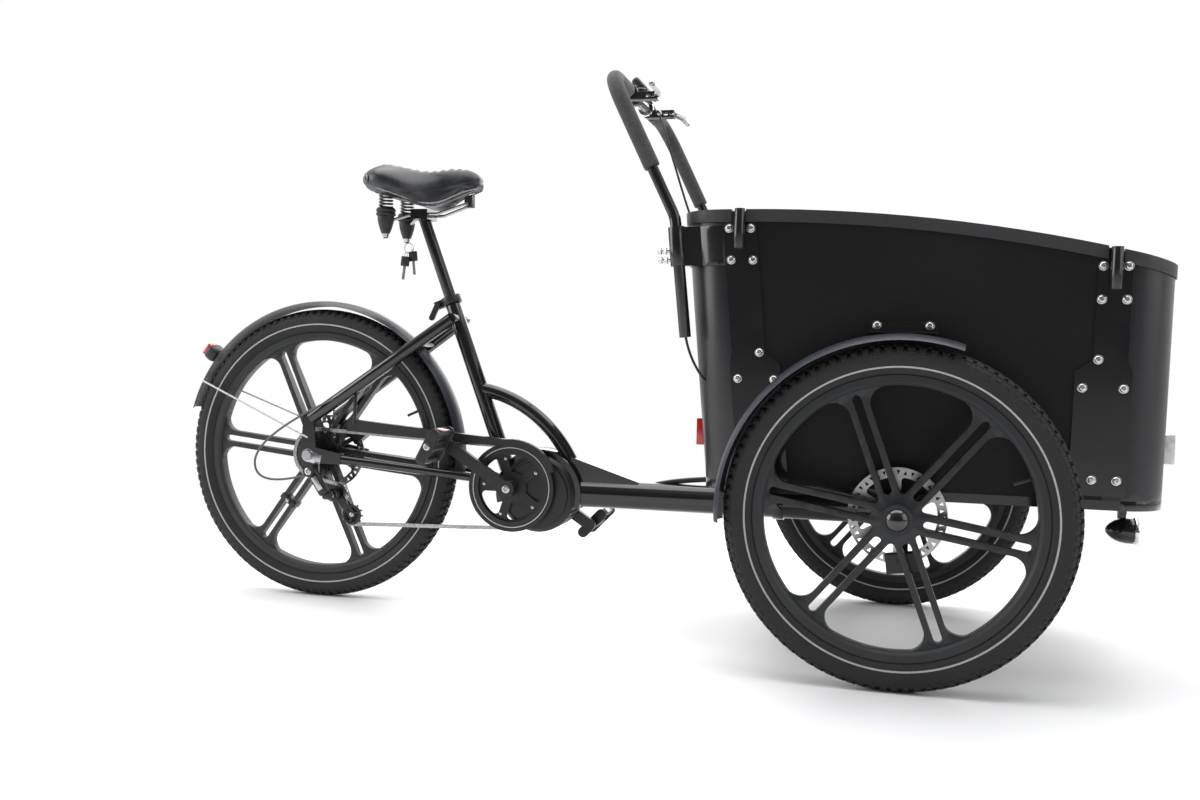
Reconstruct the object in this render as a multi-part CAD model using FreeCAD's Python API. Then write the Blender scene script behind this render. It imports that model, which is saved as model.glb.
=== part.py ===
import FreeCAD, Part
import math
import os

os.makedirs("parts", exist_ok=True)

# Cargo tricycle: a steered load box on two front wheels, a motor driven rear wheel behind.
# Lengths in millimetres, X forward, Y to the rider's left, Z up, ground at Z = 0.
# Everything is built with the rear axle at X = 0 and moved at the end to the middle of the length.

V = FreeCAD.Vector
ACROSS = V(0, 1, 0)
SIDE_AXIS = V(0, -1, 0)
UPWARD = V(0, 0, 1)

# Stance
wheelbase = 1295.0
track = 730.0
rear_wheel_r = 332.0
front_wheel_r = 303.0
floor_above_axle = 42.0
box_floor_z = front_wheel_r + floor_above_axle

# Fits and clearances
running_gap = 0.05
slide_gap = 0.08
clear_gap = 0.4
side_gap = 1.0
overrun = 80.0

# Tyres
tyre_width = 52.0
tyre_height = 53.0
tyre_wall = 4.0
tread_depth = 7.0
tread_width = 40.0
shoulder_drop = 7.0
bead_height = 6.0

# Cast wheels
rear_rim_r = rear_wheel_r - tyre_height
front_rim_r = front_wheel_r - tyre_height
rim_depth = 18.0
rim_width = 34.0
rim_flange = 3.0
rim_bevel = 6.0
spoke_count = 6
spoke_pair_width = 37.0
spoke_slot_width = 15.0
spoke_slot_start_r = 52.0
spoke_slot_end_gap = 14.0
spoke_hub_thickness = 28.0
spoke_rim_thickness = 17.0
window_rim_fillet = 30.0
window_hub_fillet = 7.0
hub_r = 27.0
front_hub_width = 66.0
rear_hub_left = 34.0
rear_hub_right = 24.0
front_spoke_angle = -10.0
rear_spoke_angle = -6.0
bearing_r = 17.5
bearing_width = 11.0
cap_r = 19.0
cap_height = 12.0
cap_lip = 3.0
valve_r = 3.0
valve_length = 30.0

# Axles
front_axle_r = 8.5
axle_shoulder_r = 14.5
rear_axle_r = 5.0
rear_sleeve_r = 9.0
axle_nut_r = 11.0
axle_nut_height = 9.0
rear_hub_span = 135.0

# Brake discs
disc_r = 86.0
disc_thickness = 2.0
disc_track = 17.0
disc_arms = 6
disc_arm_width = 11.0
disc_centre_r = 24.0
disc_fillet = 6.0
disc_vents = 40
vent_height = 8.0
vent_base = 6.4
disc_hole_r = 16.5

# Calipers
caliper_length = 58.0
caliper_height = 34.0
caliper_depth = 11.5
caliper_slot = 5.0
caliper_reach = 20.0
caliper_knob_r = 9.0
caliper_knob_length = 5.0
caliper_bracket = 6.0
front_caliper_angle = -82.0
rear_caliper_angle = 40.0

# Drive
crank_clearance = 149.0
crank_ahead = rear_wheel_r + crank_clearance
crank_height = 281.0
ring_teeth = 44
cog_teeth = [28, 24, 21, 18, 16, 14, 12, 11]
pulley_teeth = 11
chain_pitch = 12.7
roller_r = 3.9
tooth_tip = 2.5
root_gap = 0.25
tooth_root_half = 3.6
tooth_tip_half = 5.6
sprocket_thickness = 1.6
cog_spacing = 4.8
cog_first_y = 28.6
freehub_r = 17.0
freehub_inner_y = 26.0
freehub_outer_y = 65.0
chain_line = 52.0
link_inner_width = 3.2
link_plate = 0.9
link_half_height = 4.1
straight_links = 3
settle_rounds = 6
ring_arm_count = 5
ring_window_fillet = 9.0
ring_band = 14.0
ring_arm_width = 20.0
ring_centre_r = 34.0
guard_ring_r = 97.0
guard_ring_band = 22.0
guard_bolt_r = 3.5
guard_bolt_inset = 17.5
guard_ring_thickness = 2.6
guard_ring_gap = 1.2
crank_length = 170.0
crank_angle = 147.0
crank_arm_y = 76.0
crank_arm_thickness = 13.0
crank_boss_r = 17.0
crank_end_r = 13.0
spindle_r = 11.0
pedal_axle_r = 6.0
pedal_inner_y = 101.0
pedal_width = 88.0
pedal_length = 84.0
pedal_height = 24.0
pedal_plate = 6.0
pedal_barrel_r = 12.0
pedal_bar = 9.0
pedal_reflector_length = 46.0
pedal_reflector_height = 13.0
pedal_reflector_depth = 3.0
right_pedal_tilt = 63.0
left_pedal_tilt = 46.0

# Derailleur
guide_pulley_x = 51.0
guide_pulley_drop = 90.0
cage_length = 61.0
cage_angle = -45.0
cage_plate = 2.0
cage_half = 4.4
cage_width_r = 9.0
pulley_bolt_r = 2.5
pulley_thickness = 2.4
pulley_hub_r = 9.0
hanger_x = 14.0
hanger_drop = 34.0
knuckle_r = 13.0
link_bar = 12.0
knuckle_gap = 1.5

# Motor
motor_offset = 54.0
motor_drop = 13.0
motor_ahead = crank_ahead + motor_offset
motor_height = crank_height - motor_drop
motor_r = 84.6
motor_right_y = -42.0
motor_left_y = 58.0
motor_rim_chamfer = 8.0
motor_cover_r = 70.0
motor_cover_height = 5.0
fin_count = 11
fin_first_angle = -118.0
fin_sweep = 92.0
fin_slot = 4.0
fin_depth = 9.0
motor_boss_r = 28.0
motor_boss_y = 6.5

# Frame
main_tube_r = 30.5
tube_wall = 2.6
bracket_wall = 12.0
bracket_half = 33.0
bracket_start = -18.0
bracket_sweep = 213.0
head_tube_r = 33.0
head_tube_gap = 31.0
head_tube_length = 88.0
head_tube_high = box_floor_z - head_tube_gap
head_tube_low = head_tube_high - head_tube_length
main_tube_drop = 43.0
main_tube_z = head_tube_high - main_tube_drop
head_bore_r = 24.0
collar_r = 34.0
collar_width = 22.0
collar_behind = 250.0
seat_lean = 20.6
seat_base_behind = 70.0
seat_base_x = crank_ahead - seat_base_behind
seat_base_z = 428.0
seat_tube_r = 17.2
seat_tube_rise = 365.0
seat_tube_top_z = rear_wheel_r + seat_tube_rise
seat_tube_low_z = 316.0
seat_post_r = 13.6
seat_post_wall = 2.4
seat_post_inside = 107.0
seat_post_rise = 179.0
seat_post_low_z = seat_tube_top_z - seat_post_inside
seat_post_top_z = seat_tube_top_z + seat_post_rise
arch_r = 15.9
arch_from_crank = [(-87.0, 491.0), (41.0, 434.0), (122.0, 332.0)]
arch_start, arch_middle, arch_end = [(crank_ahead + x, z) for x, z in arch_from_crank]
gusset_half = 17.0
gusset_front_ahead = 221.0
gusset_rear_ahead = 69.0
gusset_rise = 79.0
gusset_front_x = motor_ahead + gusset_front_ahead
gusset_rear_x = motor_ahead + gusset_rear_ahead
gusset_rear_z = main_tube_z + gusset_rise
chainstay_r = 10.0
stay_from_crank = [(-29.0, 8.0, 21.0), (-103.0, 17.0, 41.5)]
stay_from_axle = (70.0, -6.0, 63.0)
chainstay_front, chainstay_bend = [(crank_ahead + x, crank_height + z, y) for x, z, y in stay_from_crank]
chainstay_rear = (stay_from_axle[0], rear_wheel_r + stay_from_axle[1], stay_from_axle[2])
chainstay_bend_r = 70.0
seatstay_r = 14.0
seatstay_top_drop = 50.0
seatstay_top_z = seat_tube_top_z - seatstay_top_drop
seatstay_top_y = 38.0
seatstay_from_axle = (2.0, 83.0, 64.0)
seatstay_low = (seatstay_from_axle[0], rear_wheel_r + seatstay_from_axle[1], seatstay_from_axle[2])
lug_r = 12.0
lug_end_y = 45.0
dropout_thickness = 6.0
dropout_half = 18.0
dropout_top = 96.0
dropout_front = 80.0
dropout_web = 12.0
bridge_r = 9.0
clamp_r = 22.0
clamp_height = 17.0
clamp_ear_reach = 17.0
clamp_ear_half = 9.0
clamp_slit = 3.0
lever_length = 46.0
lever_width = 12.0
lever_thickness = 6.0
lever_pin_r = 3.0

# Kingpin
kingpin_r = 12.5
kingpin_reach = 20.0
kingpin_low = head_tube_low - kingpin_reach
kingpin_nut_r = 19.0
kingpin_nut_height = 12.0
cup_height = 13.0
cup_flange_r = 31.0
cup_flange = 4.0

# Rear fender
rear_fender_gap = 20.0
rear_fender_r = rear_wheel_r + rear_fender_gap
fender_width = 58.0
fender_drop = 12.0
fender_sheet = 2.0
rear_fender_start = -4.0
rear_fender_sweep = 168.0
fender_wire_r = 2.2
fender_wire_angle = 152.0
wire_eye_rise = 40.0
wire_eye_z = rear_wheel_r + wire_eye_rise
rear_light_angle = 142.0
rear_light_width = 44.0
rear_light_height = 36.0
rear_light_depth = 30.0
rear_lens_depth = 7.0
rear_light_zone_angle = 30.0

# Chain guard
chain_guard_inner_y = 62.0
chain_guard_sheet = 2.5
chain_guard_rear_x = 92.0
chain_guard_rise = 85.0
chain_guard_rear_z = rear_wheel_r + chain_guard_rise
chain_guard_height = 27.0
chain_guard_r = 106.0
chain_guard_band = 16.0
chain_guard_end_angle = 22.0
chain_guard_join_angle = 97.0
chain_guard_roof = 16.0
guard_strut = 16.0

# Load box, placed from the front axle
box_side_gap = 65.0
box_half_width = track / 2 - box_side_gap
box_behind = 359.0
box_ahead = 449.0
box_rear_low_x = wheelbase - box_behind
box_front_low_x = wheelbase + box_ahead
rear_lean_x = -49.0
front_lean_x = 9.0
lean_height = 510.0
corner_r = 80.0
panel = 9.0
rear_seam_behind = 251.0
front_seam_ahead = 340.0
rear_seam_x = wheelbase - rear_seam_behind
front_seam_x = wheelbase + front_seam_ahead
rim_rise = 501.0
rim_high_z = box_floor_z + rim_rise
rim_curve_behind = 287.0
rim_curve_start_x = wheelbase - rim_curve_behind
rim_curve_r = 2900.0
floor_thickness = 12.0
floor_gap = 0.5
trim_depth = 20.0
trim_wall = 3.0
trim_crown = 3.0
socket_slot = 26.0

# Box fittings
plate_thickness = 3.0
rear_plate_width = 62.0
front_plate_width = 55.0
plate_foot_rise = 7.0
plate_foot_z = box_floor_z + plate_foot_rise
plate_head_gap = 31.0
socket_r = 10.0
socket_bore_r = 7.0
socket_length = 72.0
socket_stand = 8.0
bolt_head_r = 6.5
bolt_head_height = 4.0
bolt_half = 20.0
rear_bolt_rises = [469.0, 411.0, 35.0]
front_bolt_rises = [402.0, 345.0, 35.0]
lone_bolt_rise = 242.0
wide_bolt_rise = 193.0
rear_bolt_rows_z = [box_floor_z + rise for rise in rear_bolt_rises]
front_bolt_rows_z = [box_floor_z + rise for rise in front_bolt_rises]
lone_bolt_z = box_floor_z + lone_bolt_rise
wide_bolt_z = box_floor_z + wide_bolt_rise
wide_bolt_half = 33.0
wide_bolt_shift = 10.0
plate_kink_height = 221.0
plate_kink_z = box_floor_z + plate_kink_height
plate_kink_rise = 20.0
plate_foot_half = 46.0
strap_thickness = 3.0
strap_low_rise = 401.0
strap_high_rise = 474.0
strap_low_z = box_floor_z + strap_low_rise
strap_high_z = box_floor_z + strap_high_rise
strap_behind = 307.0
strap_inset = 64.0
strap_front_x = wheelbase - strap_behind
strap_inner_y = box_half_width - strap_inset
sleeve_r = 16.0
pinch_bolt_r = 4.0
pinch_bolt_length = 30.0
pinch_bolt_head_r = 6.5
pinch_bolt_rises = [429.0, 412.0]
pinch_bolt_z = [box_floor_z + rise for rise in pinch_bolt_rises]
reflector_width = 44.0
reflector_height = 52.0
reflector_depth = 12.0
reflector_inset = 105.0
reflector_rise = 60.0
reflector_y = box_half_width - reflector_inset
reflector_z = box_floor_z + reflector_rise

# Carriage under the box
rail_height = 17.0
rail_width = 30.0
cross_behind = 90.0
cross_ahead = 50.0
cross_rear_x = wheelbase - cross_behind
cross_front_x = wheelbase + cross_ahead
cross_width = 40.0
pivot_plate_half = 95.0
pivot_plate_drop = 3.0
axle_block_length = 56.0
axle_block_drop = 46.0
axle_block_depth = 38.0
axle_block_inner_y = box_half_width - axle_block_depth
battery_length = 120.0
battery_width = 300.0
battery_height = 170.0
battery_gap = 34.0
battery_handle_r = 7.0
battery_handle_span = 130.0
battery_handle_rise = 34.0

# Front fenders
front_fender_gap = 19.0
front_fender_r = front_wheel_r + front_fender_gap
front_fender_width = 66.0
front_fender_start = 71.0
front_fender_sweep = 113.0
stay_length = 117.0
stay_flange = 24.0
stay_sheet = 3.0
stay_tongue = 70.0
foot_length = 22.0

# Head lamp
lamp_behind = 22.0
lamp_drop = 91.0
lamp_x = box_front_low_x - lamp_behind
lamp_z = box_floor_z - lamp_drop
lamp_r = 25.0
lamp_length = 58.0
lamp_tail = 40.0
lamp_ring_r = 28.0
lamp_ring = 7.0
lamp_glass = 4.0
lamp_bracket_width = 16.0
lamp_bracket_sheet = 4.0
lamp_bolt_r = 4.0

# Handlebar
bar_r = 11.1
bar_wall = 2.0
bar_inset = 20.0
bar_half_width = box_half_width - bar_inset
bar_from_floor = [(-397.0, 267.0), (-422.2, 493.0), (-558.0, 771.0)]
leg_low, leg_bend, bar_top = [(wheelbase + x, box_floor_z + z) for x, z in bar_from_floor]
bar_corner_r = 70.0
foam_r = 15.6
foam_foot_rise = 587.0
foam_foot_z = box_floor_z + foam_foot_rise
foam_inner_y = 118.0
perch_y = 92.0
perch_r = 16.5
perch_width = 22.0
perch_reach = 50.0
perch_height = 16.0
perch_drop = 8.0
lever_blade = 106.0
lever_blade_width = 13.0
lever_blade_thickness = 6.0
lever_pivot_r = 4.0
lever_head_r = 8.0
lever_offset = 12.0
display_width = 66.0
display_height = 44.0
display_depth = 14.0
display_lift = 15.0
shifter_y = -60.0
shifter_r = 20.0
shifter_width = 18.0
bell_y = 60.0
bell_r = 22.0
bell_height = 18.0
bell_stem_r = 5.0

# Saddle
saddle_behind = 300.0
saddle_nose_behind = 26.0
saddle_rear_x = seat_base_x - saddle_behind
saddle_nose_x = seat_base_x - saddle_nose_behind
saddle_half_width = 112.0
saddle_rise = 107.0
saddle_top_z = seat_post_top_z + saddle_rise
saddle_depth = 84.0
saddle_station_shares = [0.0, 0.07, 0.22, 0.42, 0.62, 0.82, 0.95, 1.0]
saddle_width_shares = [0.34, 0.78, 1.0, 0.86, 0.52, 0.34, 0.27, 0.12]
saddle_top_shares = [0.38, 0.10, 0.0, 0.12, 0.15, 0.04, 0.10, 0.42]
saddle_low_shares = [0.66, 0.86, 0.92, 1.0, 1.08, 0.94, 0.76, 0.60]
saddle_channel = 5.0
saddle_channel_half_share = 0.15
saddle_shoulder_share = 0.80
saddle_tuck_share = 0.86
spring_behind = 235.0
spring_x = seat_base_x - spring_behind
spring_y = 57.0
spring_r = 14.0
spring_wire_r = 2.3
spring_turns = 4
spring_drop = 8.0
spring_rise = 29.0
spring_low_z = seat_post_top_z - spring_drop
spring_high_z = seat_post_top_z + spring_rise
spring_plate = 2.5
spring_plate_half = 18.0
cone_r = 14.0
cone_tip_r = 6.0
cone_height = 34.0
rail_wire_r = 3.5
rail_wire_y = 22.0
rail_wire_rise = 4.0
rail_nose_behind = 59.0
rail_nose_rise = 27.0
rail_wire_z = seat_post_top_z + rail_wire_rise
rail_nose_x = seat_base_x - rail_nose_behind
rail_nose_z = seat_post_top_z + rail_nose_rise
rail_nose_y = 15.0
rail_bend_r = 14.0
saddle_clamp_length = 40.0
saddle_clamp_height = 22.0

# Cords, each route as points from the piece that holds it
cable_r = 2.5
cable_bend = 24.0
bar_cable_points = [(-533.0, 84.0, 763.0), (-523.0, 42.0, 751.0)]
bar_cable_points += [(-429.0, 62.0, 455.0), (-390.0, 62.0, 407.0)]
bar_cable_route = [(wheelbase + x, y, box_floor_z + z) for x, y, z in bar_cable_points]
leg_cable_points = [(-399.0, 0.0, 287.0), (-391.0, 0.0, 211.0), (-335.0, 16.0, 161.0)]
leg_cable_route = [(wheelbase + x, y - bar_half_width, box_floor_z + z) for x, y, z in leg_cable_points]
shift_cable_points = [(62.0, -72.3, 130.0), (-122.0, -98.0, 40.0)]
shift_cable_points += [(-122.0, -92.0, -82.0), (16.0, -86.0, -40.0)]
shift_cable_route = [(x, y, rear_wheel_r + z) for x, y, z in shift_cable_points]
shift_cable_bend = 48.0
conduit_r = 6.5
conduit_bore_r = 4.5
conduit_groove = 1.0
conduit_pitch = 4.0
conduit_land_share = 0.4
conduit_start_ahead = 36.0
conduit_start_rise = 26.0
conduit_turn_ahead = 116.0
conduit_drop = 27.0
conduit_behind = 115.0
conduit_z = box_floor_z - conduit_drop
conduit_end_x = wheelbase - conduit_behind
conduit_route = [(gusset_front_x + conduit_start_ahead, 0.0, main_tube_z + conduit_start_rise)]
conduit_route += [(gusset_front_x + conduit_turn_ahead, 0.0, conduit_z)]
conduit_route += [(conduit_end_x, 0.0, conduit_z), (conduit_end_x, 0.0, box_floor_z)]
conduit_bend = 16.0


def y_disc(x, z, r, y0, y1):
    return Part.makeCylinder(r, y1 - y0, V(x, y0, z), ACROSS)


def y_ring(x, z, r_out, r_in, y0, y1):
    return y_disc(x, z, r_out, y0, y1).cut(y_disc(x, z, r_in, y0 - overrun, y1 + overrun))


def z_disc(x, y, r, z0, z1):
    return Part.makeCylinder(r, z1 - z0, V(x, y, z0), UPWARD)


def z_ring(x, y, r_out, r_in, z0, z1):
    return z_disc(x, y, r_out, z0, z1).cut(z_disc(x, y, r_in, z0 - overrun, z1 + overrun))


def rod(a, b, r):
    return Part.makeCylinder(r, (b - a).Length, a, b - a)


def slab(x0, x1, y0, y1, z0, z1):
    return Part.makeBox(x1 - x0, y1 - y0, z1 - z0, V(x0, y0, z0))


def plate(points, y0, y1):
    corners = [V(x, y0, z) for x, z in points]
    return Part.Face(Part.makePolygon(corners + corners[:1])).extrude(V(0, y1 - y0, 0))


def arc(a, m, b):
    return Part.Arc(a, m, b).toShape()


def line(a, b):
    return Part.makeLine(a, b)


def polar(x, z, r, angle, y):
    turn = math.radians(angle)
    return V(x + r * math.cos(turn), y, z + r * math.sin(turn))


def union(shapes):
    shapes = list(shapes)
    whole = shapes[0].multiFuse(shapes[1:]) if len(shapes) > 1 else shapes[0]
    return whole.removeSplitter()


def group(shapes):
    return Part.makeCompound([solid for shape in shapes for solid in shape.Solids])


def mirrored(shape):
    return shape.mirror(V(0, 0, 0), ACROSS)


def both_sides(shape):
    return group([shape, mirrored(shape)])


def turned(shape, x, z, angle):
    copy = shape.copy()
    copy.rotate(V(x, 0, z), SIDE_AXIS, angle)
    return copy


def spun(points, x, z, start, sweep):
    corners = [V(x + r, y, z) for y, r in points]
    face = Part.Face(Part.makePolygon(corners + corners[:1]))
    return turned(face.revolve(V(x, 0, z), SIDE_AXIS, sweep), x, z, start)


def path_wire(points, bend):
    edges = []
    here = points[0]
    for a, b, c in zip(points, points[1:], points[2:]):
        back = (a - b).normalize()
        ahead = (c - b).normalize()
        half = back.getAngle(ahead) / 2
        reach = bend / math.tan(half)
        inward = (back + ahead).normalize()
        p = b + back * reach
        q = b + ahead * reach
        middle = b + inward * (bend / math.sin(half) - bend)
        edges.append(line(here, p))
        edges.append(arc(p, middle, q))
        here = q
    edges.append(line(here, points[-1]))
    return Part.Wire(edges)


def swept(path, r):
    first = path.Edges[0]
    start = first.valueAt(first.FirstParameter)
    ahead = first.tangentAt(first.FirstParameter)
    return path.makePipeShell([Part.Wire(Part.makeCircle(r, start, ahead))], True, False)


def window(r, half_arm, count, rim_fillet, hub_fillet, y0, y1):
    half = math.pi / count
    along = V(math.cos(half), 0, math.sin(half))
    across = V(math.sin(half), 0, -math.cos(half))
    flip = [1, -1]
    hub_centre = (half_arm + hub_fillet) / math.sin(half)
    rim_along = math.sqrt((r - rim_fillet) ** 2 - (half_arm + rim_fillet) ** 2)
    inner = along * (hub_centre * math.cos(half)) + across * half_arm
    outer = along * rim_along + across * half_arm
    centre = along * rim_along + across * (half_arm + rim_fillet)
    on_rim = centre * (r / (r - rim_fillet))
    outward = V(centre).normalize()
    middle = centre + (outward - across).normalize() * rim_fillet
    pts = [[V(p.x, y0, p.z * s) for p in (inner, outer, middle, on_rim)] for s in flip]
    a, b = pts
    edges = [line(a[0], a[1]), arc(a[1], a[2], a[3]), arc(a[3], V(r, y0, 0), b[3])]
    edges += [arc(b[3], b[2], b[1]), line(b[1], b[0])]
    edges.append(arc(b[0], V(hub_centre - hub_fillet, y0, 0), a[0]))
    return Part.Face(Part.Wire(edges)).extrude(V(0, y1 - y0, 0))


def obround(p, q, half, y0, y1):
    along = (V(q.x - p.x, 0, q.z - p.z)).normalize()
    side = V(-along.z, 0, along.x) * half
    base = V(0, y0, 0)
    p = V(p.x, 0, p.z) + base
    q = V(q.x, 0, q.z) + base
    edges = [line(p + side, q + side), arc(q + side, q + along * half, q - side)]
    edges += [line(q - side, p - side), arc(p - side, p - along * half, p + side)]
    return Part.Face(Part.Wire(edges)).extrude(V(0, y1 - y0, 0))


def moved(shape, x, y, z):
    copy = shape.copy()
    copy.translate(V(x, y, z))
    return copy


# Wheels

def tyre(x, z, y, r, rim_r):
    bead = rim_r - bead_height
    half = rim_width / 2 - rim_flange
    wall = tyre_width / 2
    widest = (rim_r + r) / 2
    shoulder = r - shoulder_drop
    tread = tread_width / 2

    def at_r(side, radius):
        return V(x + radius, y + side, z)

    edges = [line(at_r(-half, bead), at_r(-half, rim_r))]
    edges.append(arc(at_r(-half, rim_r), at_r(-wall, widest), at_r(-tread, shoulder)))
    edges.append(arc(at_r(-tread, shoulder), at_r(0, r), at_r(tread, shoulder)))
    edges.append(arc(at_r(tread, shoulder), at_r(wall, widest), at_r(half, rim_r)))
    edges.append(line(at_r(half, rim_r), at_r(half, bead)))
    inner = half - tyre_wall
    edges.append(line(at_r(half, bead), at_r(inner, bead)))
    edges.append(line(at_r(inner, bead), at_r(inner, rim_r)))
    low = shoulder - tread_depth
    ins = tread - tyre_wall
    edges.append(arc(at_r(inner, rim_r), at_r(wall - tyre_wall, widest), at_r(ins, low)))
    edges.append(arc(at_r(ins, low), at_r(0, r - tread_depth), at_r(-ins, low)))
    edges.append(arc(at_r(-ins, low), at_r(tyre_wall - wall, widest), at_r(-inner, rim_r)))
    edges.append(line(at_r(-inner, rim_r), at_r(-inner, bead)))
    edges.append(line(at_r(-inner, bead), at_r(-half, bead)))
    face = Part.Face(Part.Wire(edges))
    return face.revolve(V(x, 0, z), SIDE_AXIS, 360)


def rim_section(rim_r, y):
    low = rim_r - rim_depth
    half = rim_width / 2
    seat = rim_r - bead_height
    in_half = half - rim_flange
    side = [(half - rim_bevel, low), (half, low + rim_bevel), (half, rim_r)]
    side += [(in_half, rim_r), (in_half, seat)]
    return [(y - a, b) for a, b in side] + [(y + a, b) for a, b in reversed(side)]


def casting(x, z, y, rim_r, angle, hub_low, hub_high, bore_r):
    rim_in = rim_r - rim_depth
    rim = spun(rim_section(rim_r, y), x, z, 0, 360)
    hub_half = spoke_hub_thickness / 2
    rim_half = spoke_rim_thickness / 2
    mid = rim_in + bead_height
    section = [(y - hub_half, 0), (y - rim_half, mid), (y + rim_half, mid), (y + hub_half, 0)]
    disc = spun(section, x, z, 0, 360)
    pair = spoke_pair_width / 2
    y0 = y - overrun
    y1 = y + overrun
    opening = window(rim_in, pair, spoke_count, window_rim_fillet, window_hub_fillet, y0, y1)
    step = 360 / spoke_count
    start = V(spoke_slot_start_r, 0, 0)
    end = V(rim_in - spoke_slot_end_gap, 0, 0)
    slot = obround(start, end, spoke_slot_width / 2, y0, y1)
    tools = []
    for k in range(spoke_count):
        tools.append(turned(moved(opening, x, 0, z), x, z, angle + step * (k + 1 / 2)))
        tools.append(turned(moved(slot, x, 0, z), x, z, angle + step * k))
    disc = disc.cut(tools)
    whole = union([rim, disc, y_disc(x, z, hub_r, hub_low, hub_high)])
    return whole.cut(y_disc(x, z, bore_r, hub_low - overrun, hub_high + overrun))


def hub_cap(x, z, y):
    rise = cap_height - cap_lip
    dome_r = (cap_r ** 2 + rise ** 2) / (2 * rise)
    turn = math.asin(cap_r / dome_r) / 2
    base = V(x, y, z)
    rim = base + V(cap_r, 0, 0)
    lip = rim + V(0, cap_lip, 0)
    crown = base + V(0, cap_height, 0)
    middle = crown + V(dome_r * math.sin(turn), dome_r * (math.cos(turn) - 1), 0)
    edges = [line(base, rim), line(rim, lip), arc(lip, middle, crown), line(crown, base)]
    return Part.Face(Part.Wire(edges)).revolve(base, SIDE_AXIS, 360)


def valve(x, z, y, rim_r, angle):
    base = polar(x, z, rim_r - rim_depth, angle, y)
    tip = polar(x, z, rim_r - rim_depth - valve_length, angle, y)
    return rod(base, tip, valve_r)


def brake_disc(x, z, y0):
    y1 = y0 + disc_thickness
    ring = y_ring(x, z, disc_r, disc_hole_r, y0, y1)
    inner = disc_r - disc_track
    low = y0 - overrun
    high = y1 + overrun
    gap = moved(window(inner, disc_arm_width / 2, disc_arms, disc_fillet, disc_fillet, low, high), x, 0, z)
    keep = y_disc(x, z, disc_centre_r, low, high)
    tools = [turned(gap, x, z, 360 / disc_arms * k).cut(keep) for k in range(disc_arms)]
    middle = disc_r - disc_track / 2
    for k in range(disc_vents):
        way = 1 if k % 2 else -1
        tip = (middle + way * vent_height / 2, 0)
        foot = middle - way * vent_height / 2
        vent = plate([tip, (foot, vent_base / 2), (foot, -vent_base / 2)], low, high)
        tools.append(turned(moved(vent, x, 0, z), x, z, 360 / disc_vents * k))
    return ring.cut(tools)


def caliper(x, z, disc_y, angle, bracket_y):
    # Two halves and a bridge over the disc's edge, with a pad adjuster outside.
    inner_r = disc_r - caliper_reach
    outer_r = inner_r + caliper_height
    half = caliper_slot / 2 + caliper_depth
    side = caliper_length / 2
    body = slab(inner_r, outer_r, disc_y - half, disc_y + half, -side, side)
    slot_r = disc_r + side_gap
    body = body.cut(y_disc(0, 0, slot_r, disc_y - caliper_slot / 2, disc_y + caliper_slot / 2))
    reach = disc_y + half if bracket_y > disc_y else disc_y - half
    ends = sorted((reach, bracket_y))
    ear = slab(inner_r, outer_r, ends[0], ends[1], -caliper_bracket, caliper_bracket)
    knob_y = disc_y - half if bracket_y > disc_y else disc_y + half
    knob_end = knob_y - caliper_knob_length if bracket_y > disc_y else knob_y + caliper_knob_length
    middle = (inner_r + outer_r) / 2
    knob = y_disc(middle, 0, caliper_knob_r, min(knob_y, knob_end), max(knob_y, knob_end))
    whole = union([body, ear, knob])
    return turned(moved(whole, x, 0, z), x, z, angle)


# Frame

def seat_point(z):
    return V(seat_base_x - (z - seat_base_z) * math.tan(math.radians(seat_lean)), 0, z)


def bracket_outer_r():
    return motor_r + clear_gap + bracket_wall


def motor_zone():
    return y_disc(motor_ahead, motor_height, bracket_outer_r(), -overrun, overrun)


def motor_bracket():
    inner = motor_r + clear_gap
    outer = bracket_outer_r()
    half = bracket_half
    section = [(-half, inner), (-half, outer), (half, outer), (half, inner)]
    return spun(section, motor_ahead, motor_height, bracket_start, bracket_sweep)


def main_tube():
    start = V(motor_ahead, 0, main_tube_z)
    end = V(wheelbase, 0, main_tube_z)
    behind = V(wheelbase - collar_behind, 0, main_tube_z)
    collar = rod(behind, behind + V(collar_width, 0, 0), collar_r)
    gusset_foot = main_tube_z + main_tube_r / 2
    corners = [(gusset_rear_x, gusset_rear_z), (gusset_front_x, main_tube_z + main_tube_r)]
    corners += [(gusset_front_x, gusset_foot), (gusset_rear_x, gusset_foot)]
    gusset = plate(corners, -gusset_half, gusset_half)
    tubes = [shape.cut(motor_zone()) for shape in (rod(start, end, main_tube_r), gusset)]
    head = z_disc(wheelbase, 0, head_tube_r, head_tube_low, head_tube_high)
    whole = union(tubes + [head, collar, motor_bracket()])
    inside = V(motor_ahead + bracket_outer_r() + tube_wall, 0, main_tube_z)
    hollow = rod(inside, end, main_tube_r - tube_wall)
    bore = z_disc(wheelbase, 0, head_bore_r, head_tube_low - overrun, head_tube_high + overrun)
    return whole.cut([hollow, bore])


def seat_rod():
    return rod(seat_point(seat_tube_low_z), seat_point(seat_tube_top_z), seat_tube_r)


def seat_tube():
    top = seat_point(seat_tube_top_z)
    low = seat_point(seat_tube_low_z)
    bore = rod(low, top + (top - low), seat_post_r + slide_gap)
    return seat_rod().cut([bore, motor_zone()])


def arch_tube(frame):
    a, m, b = [V(x, 0, z) for x, z in (arch_start, arch_middle, arch_end)]
    tube = swept(Part.Wire([arc(a, m, b)]), arch_r)
    return biggest(tube.cut([seat_rod(), motor_zone(), frame]))


def biggest(shape):
    return max(shape.Solids, key=lambda solid: solid.Volume)


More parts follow.
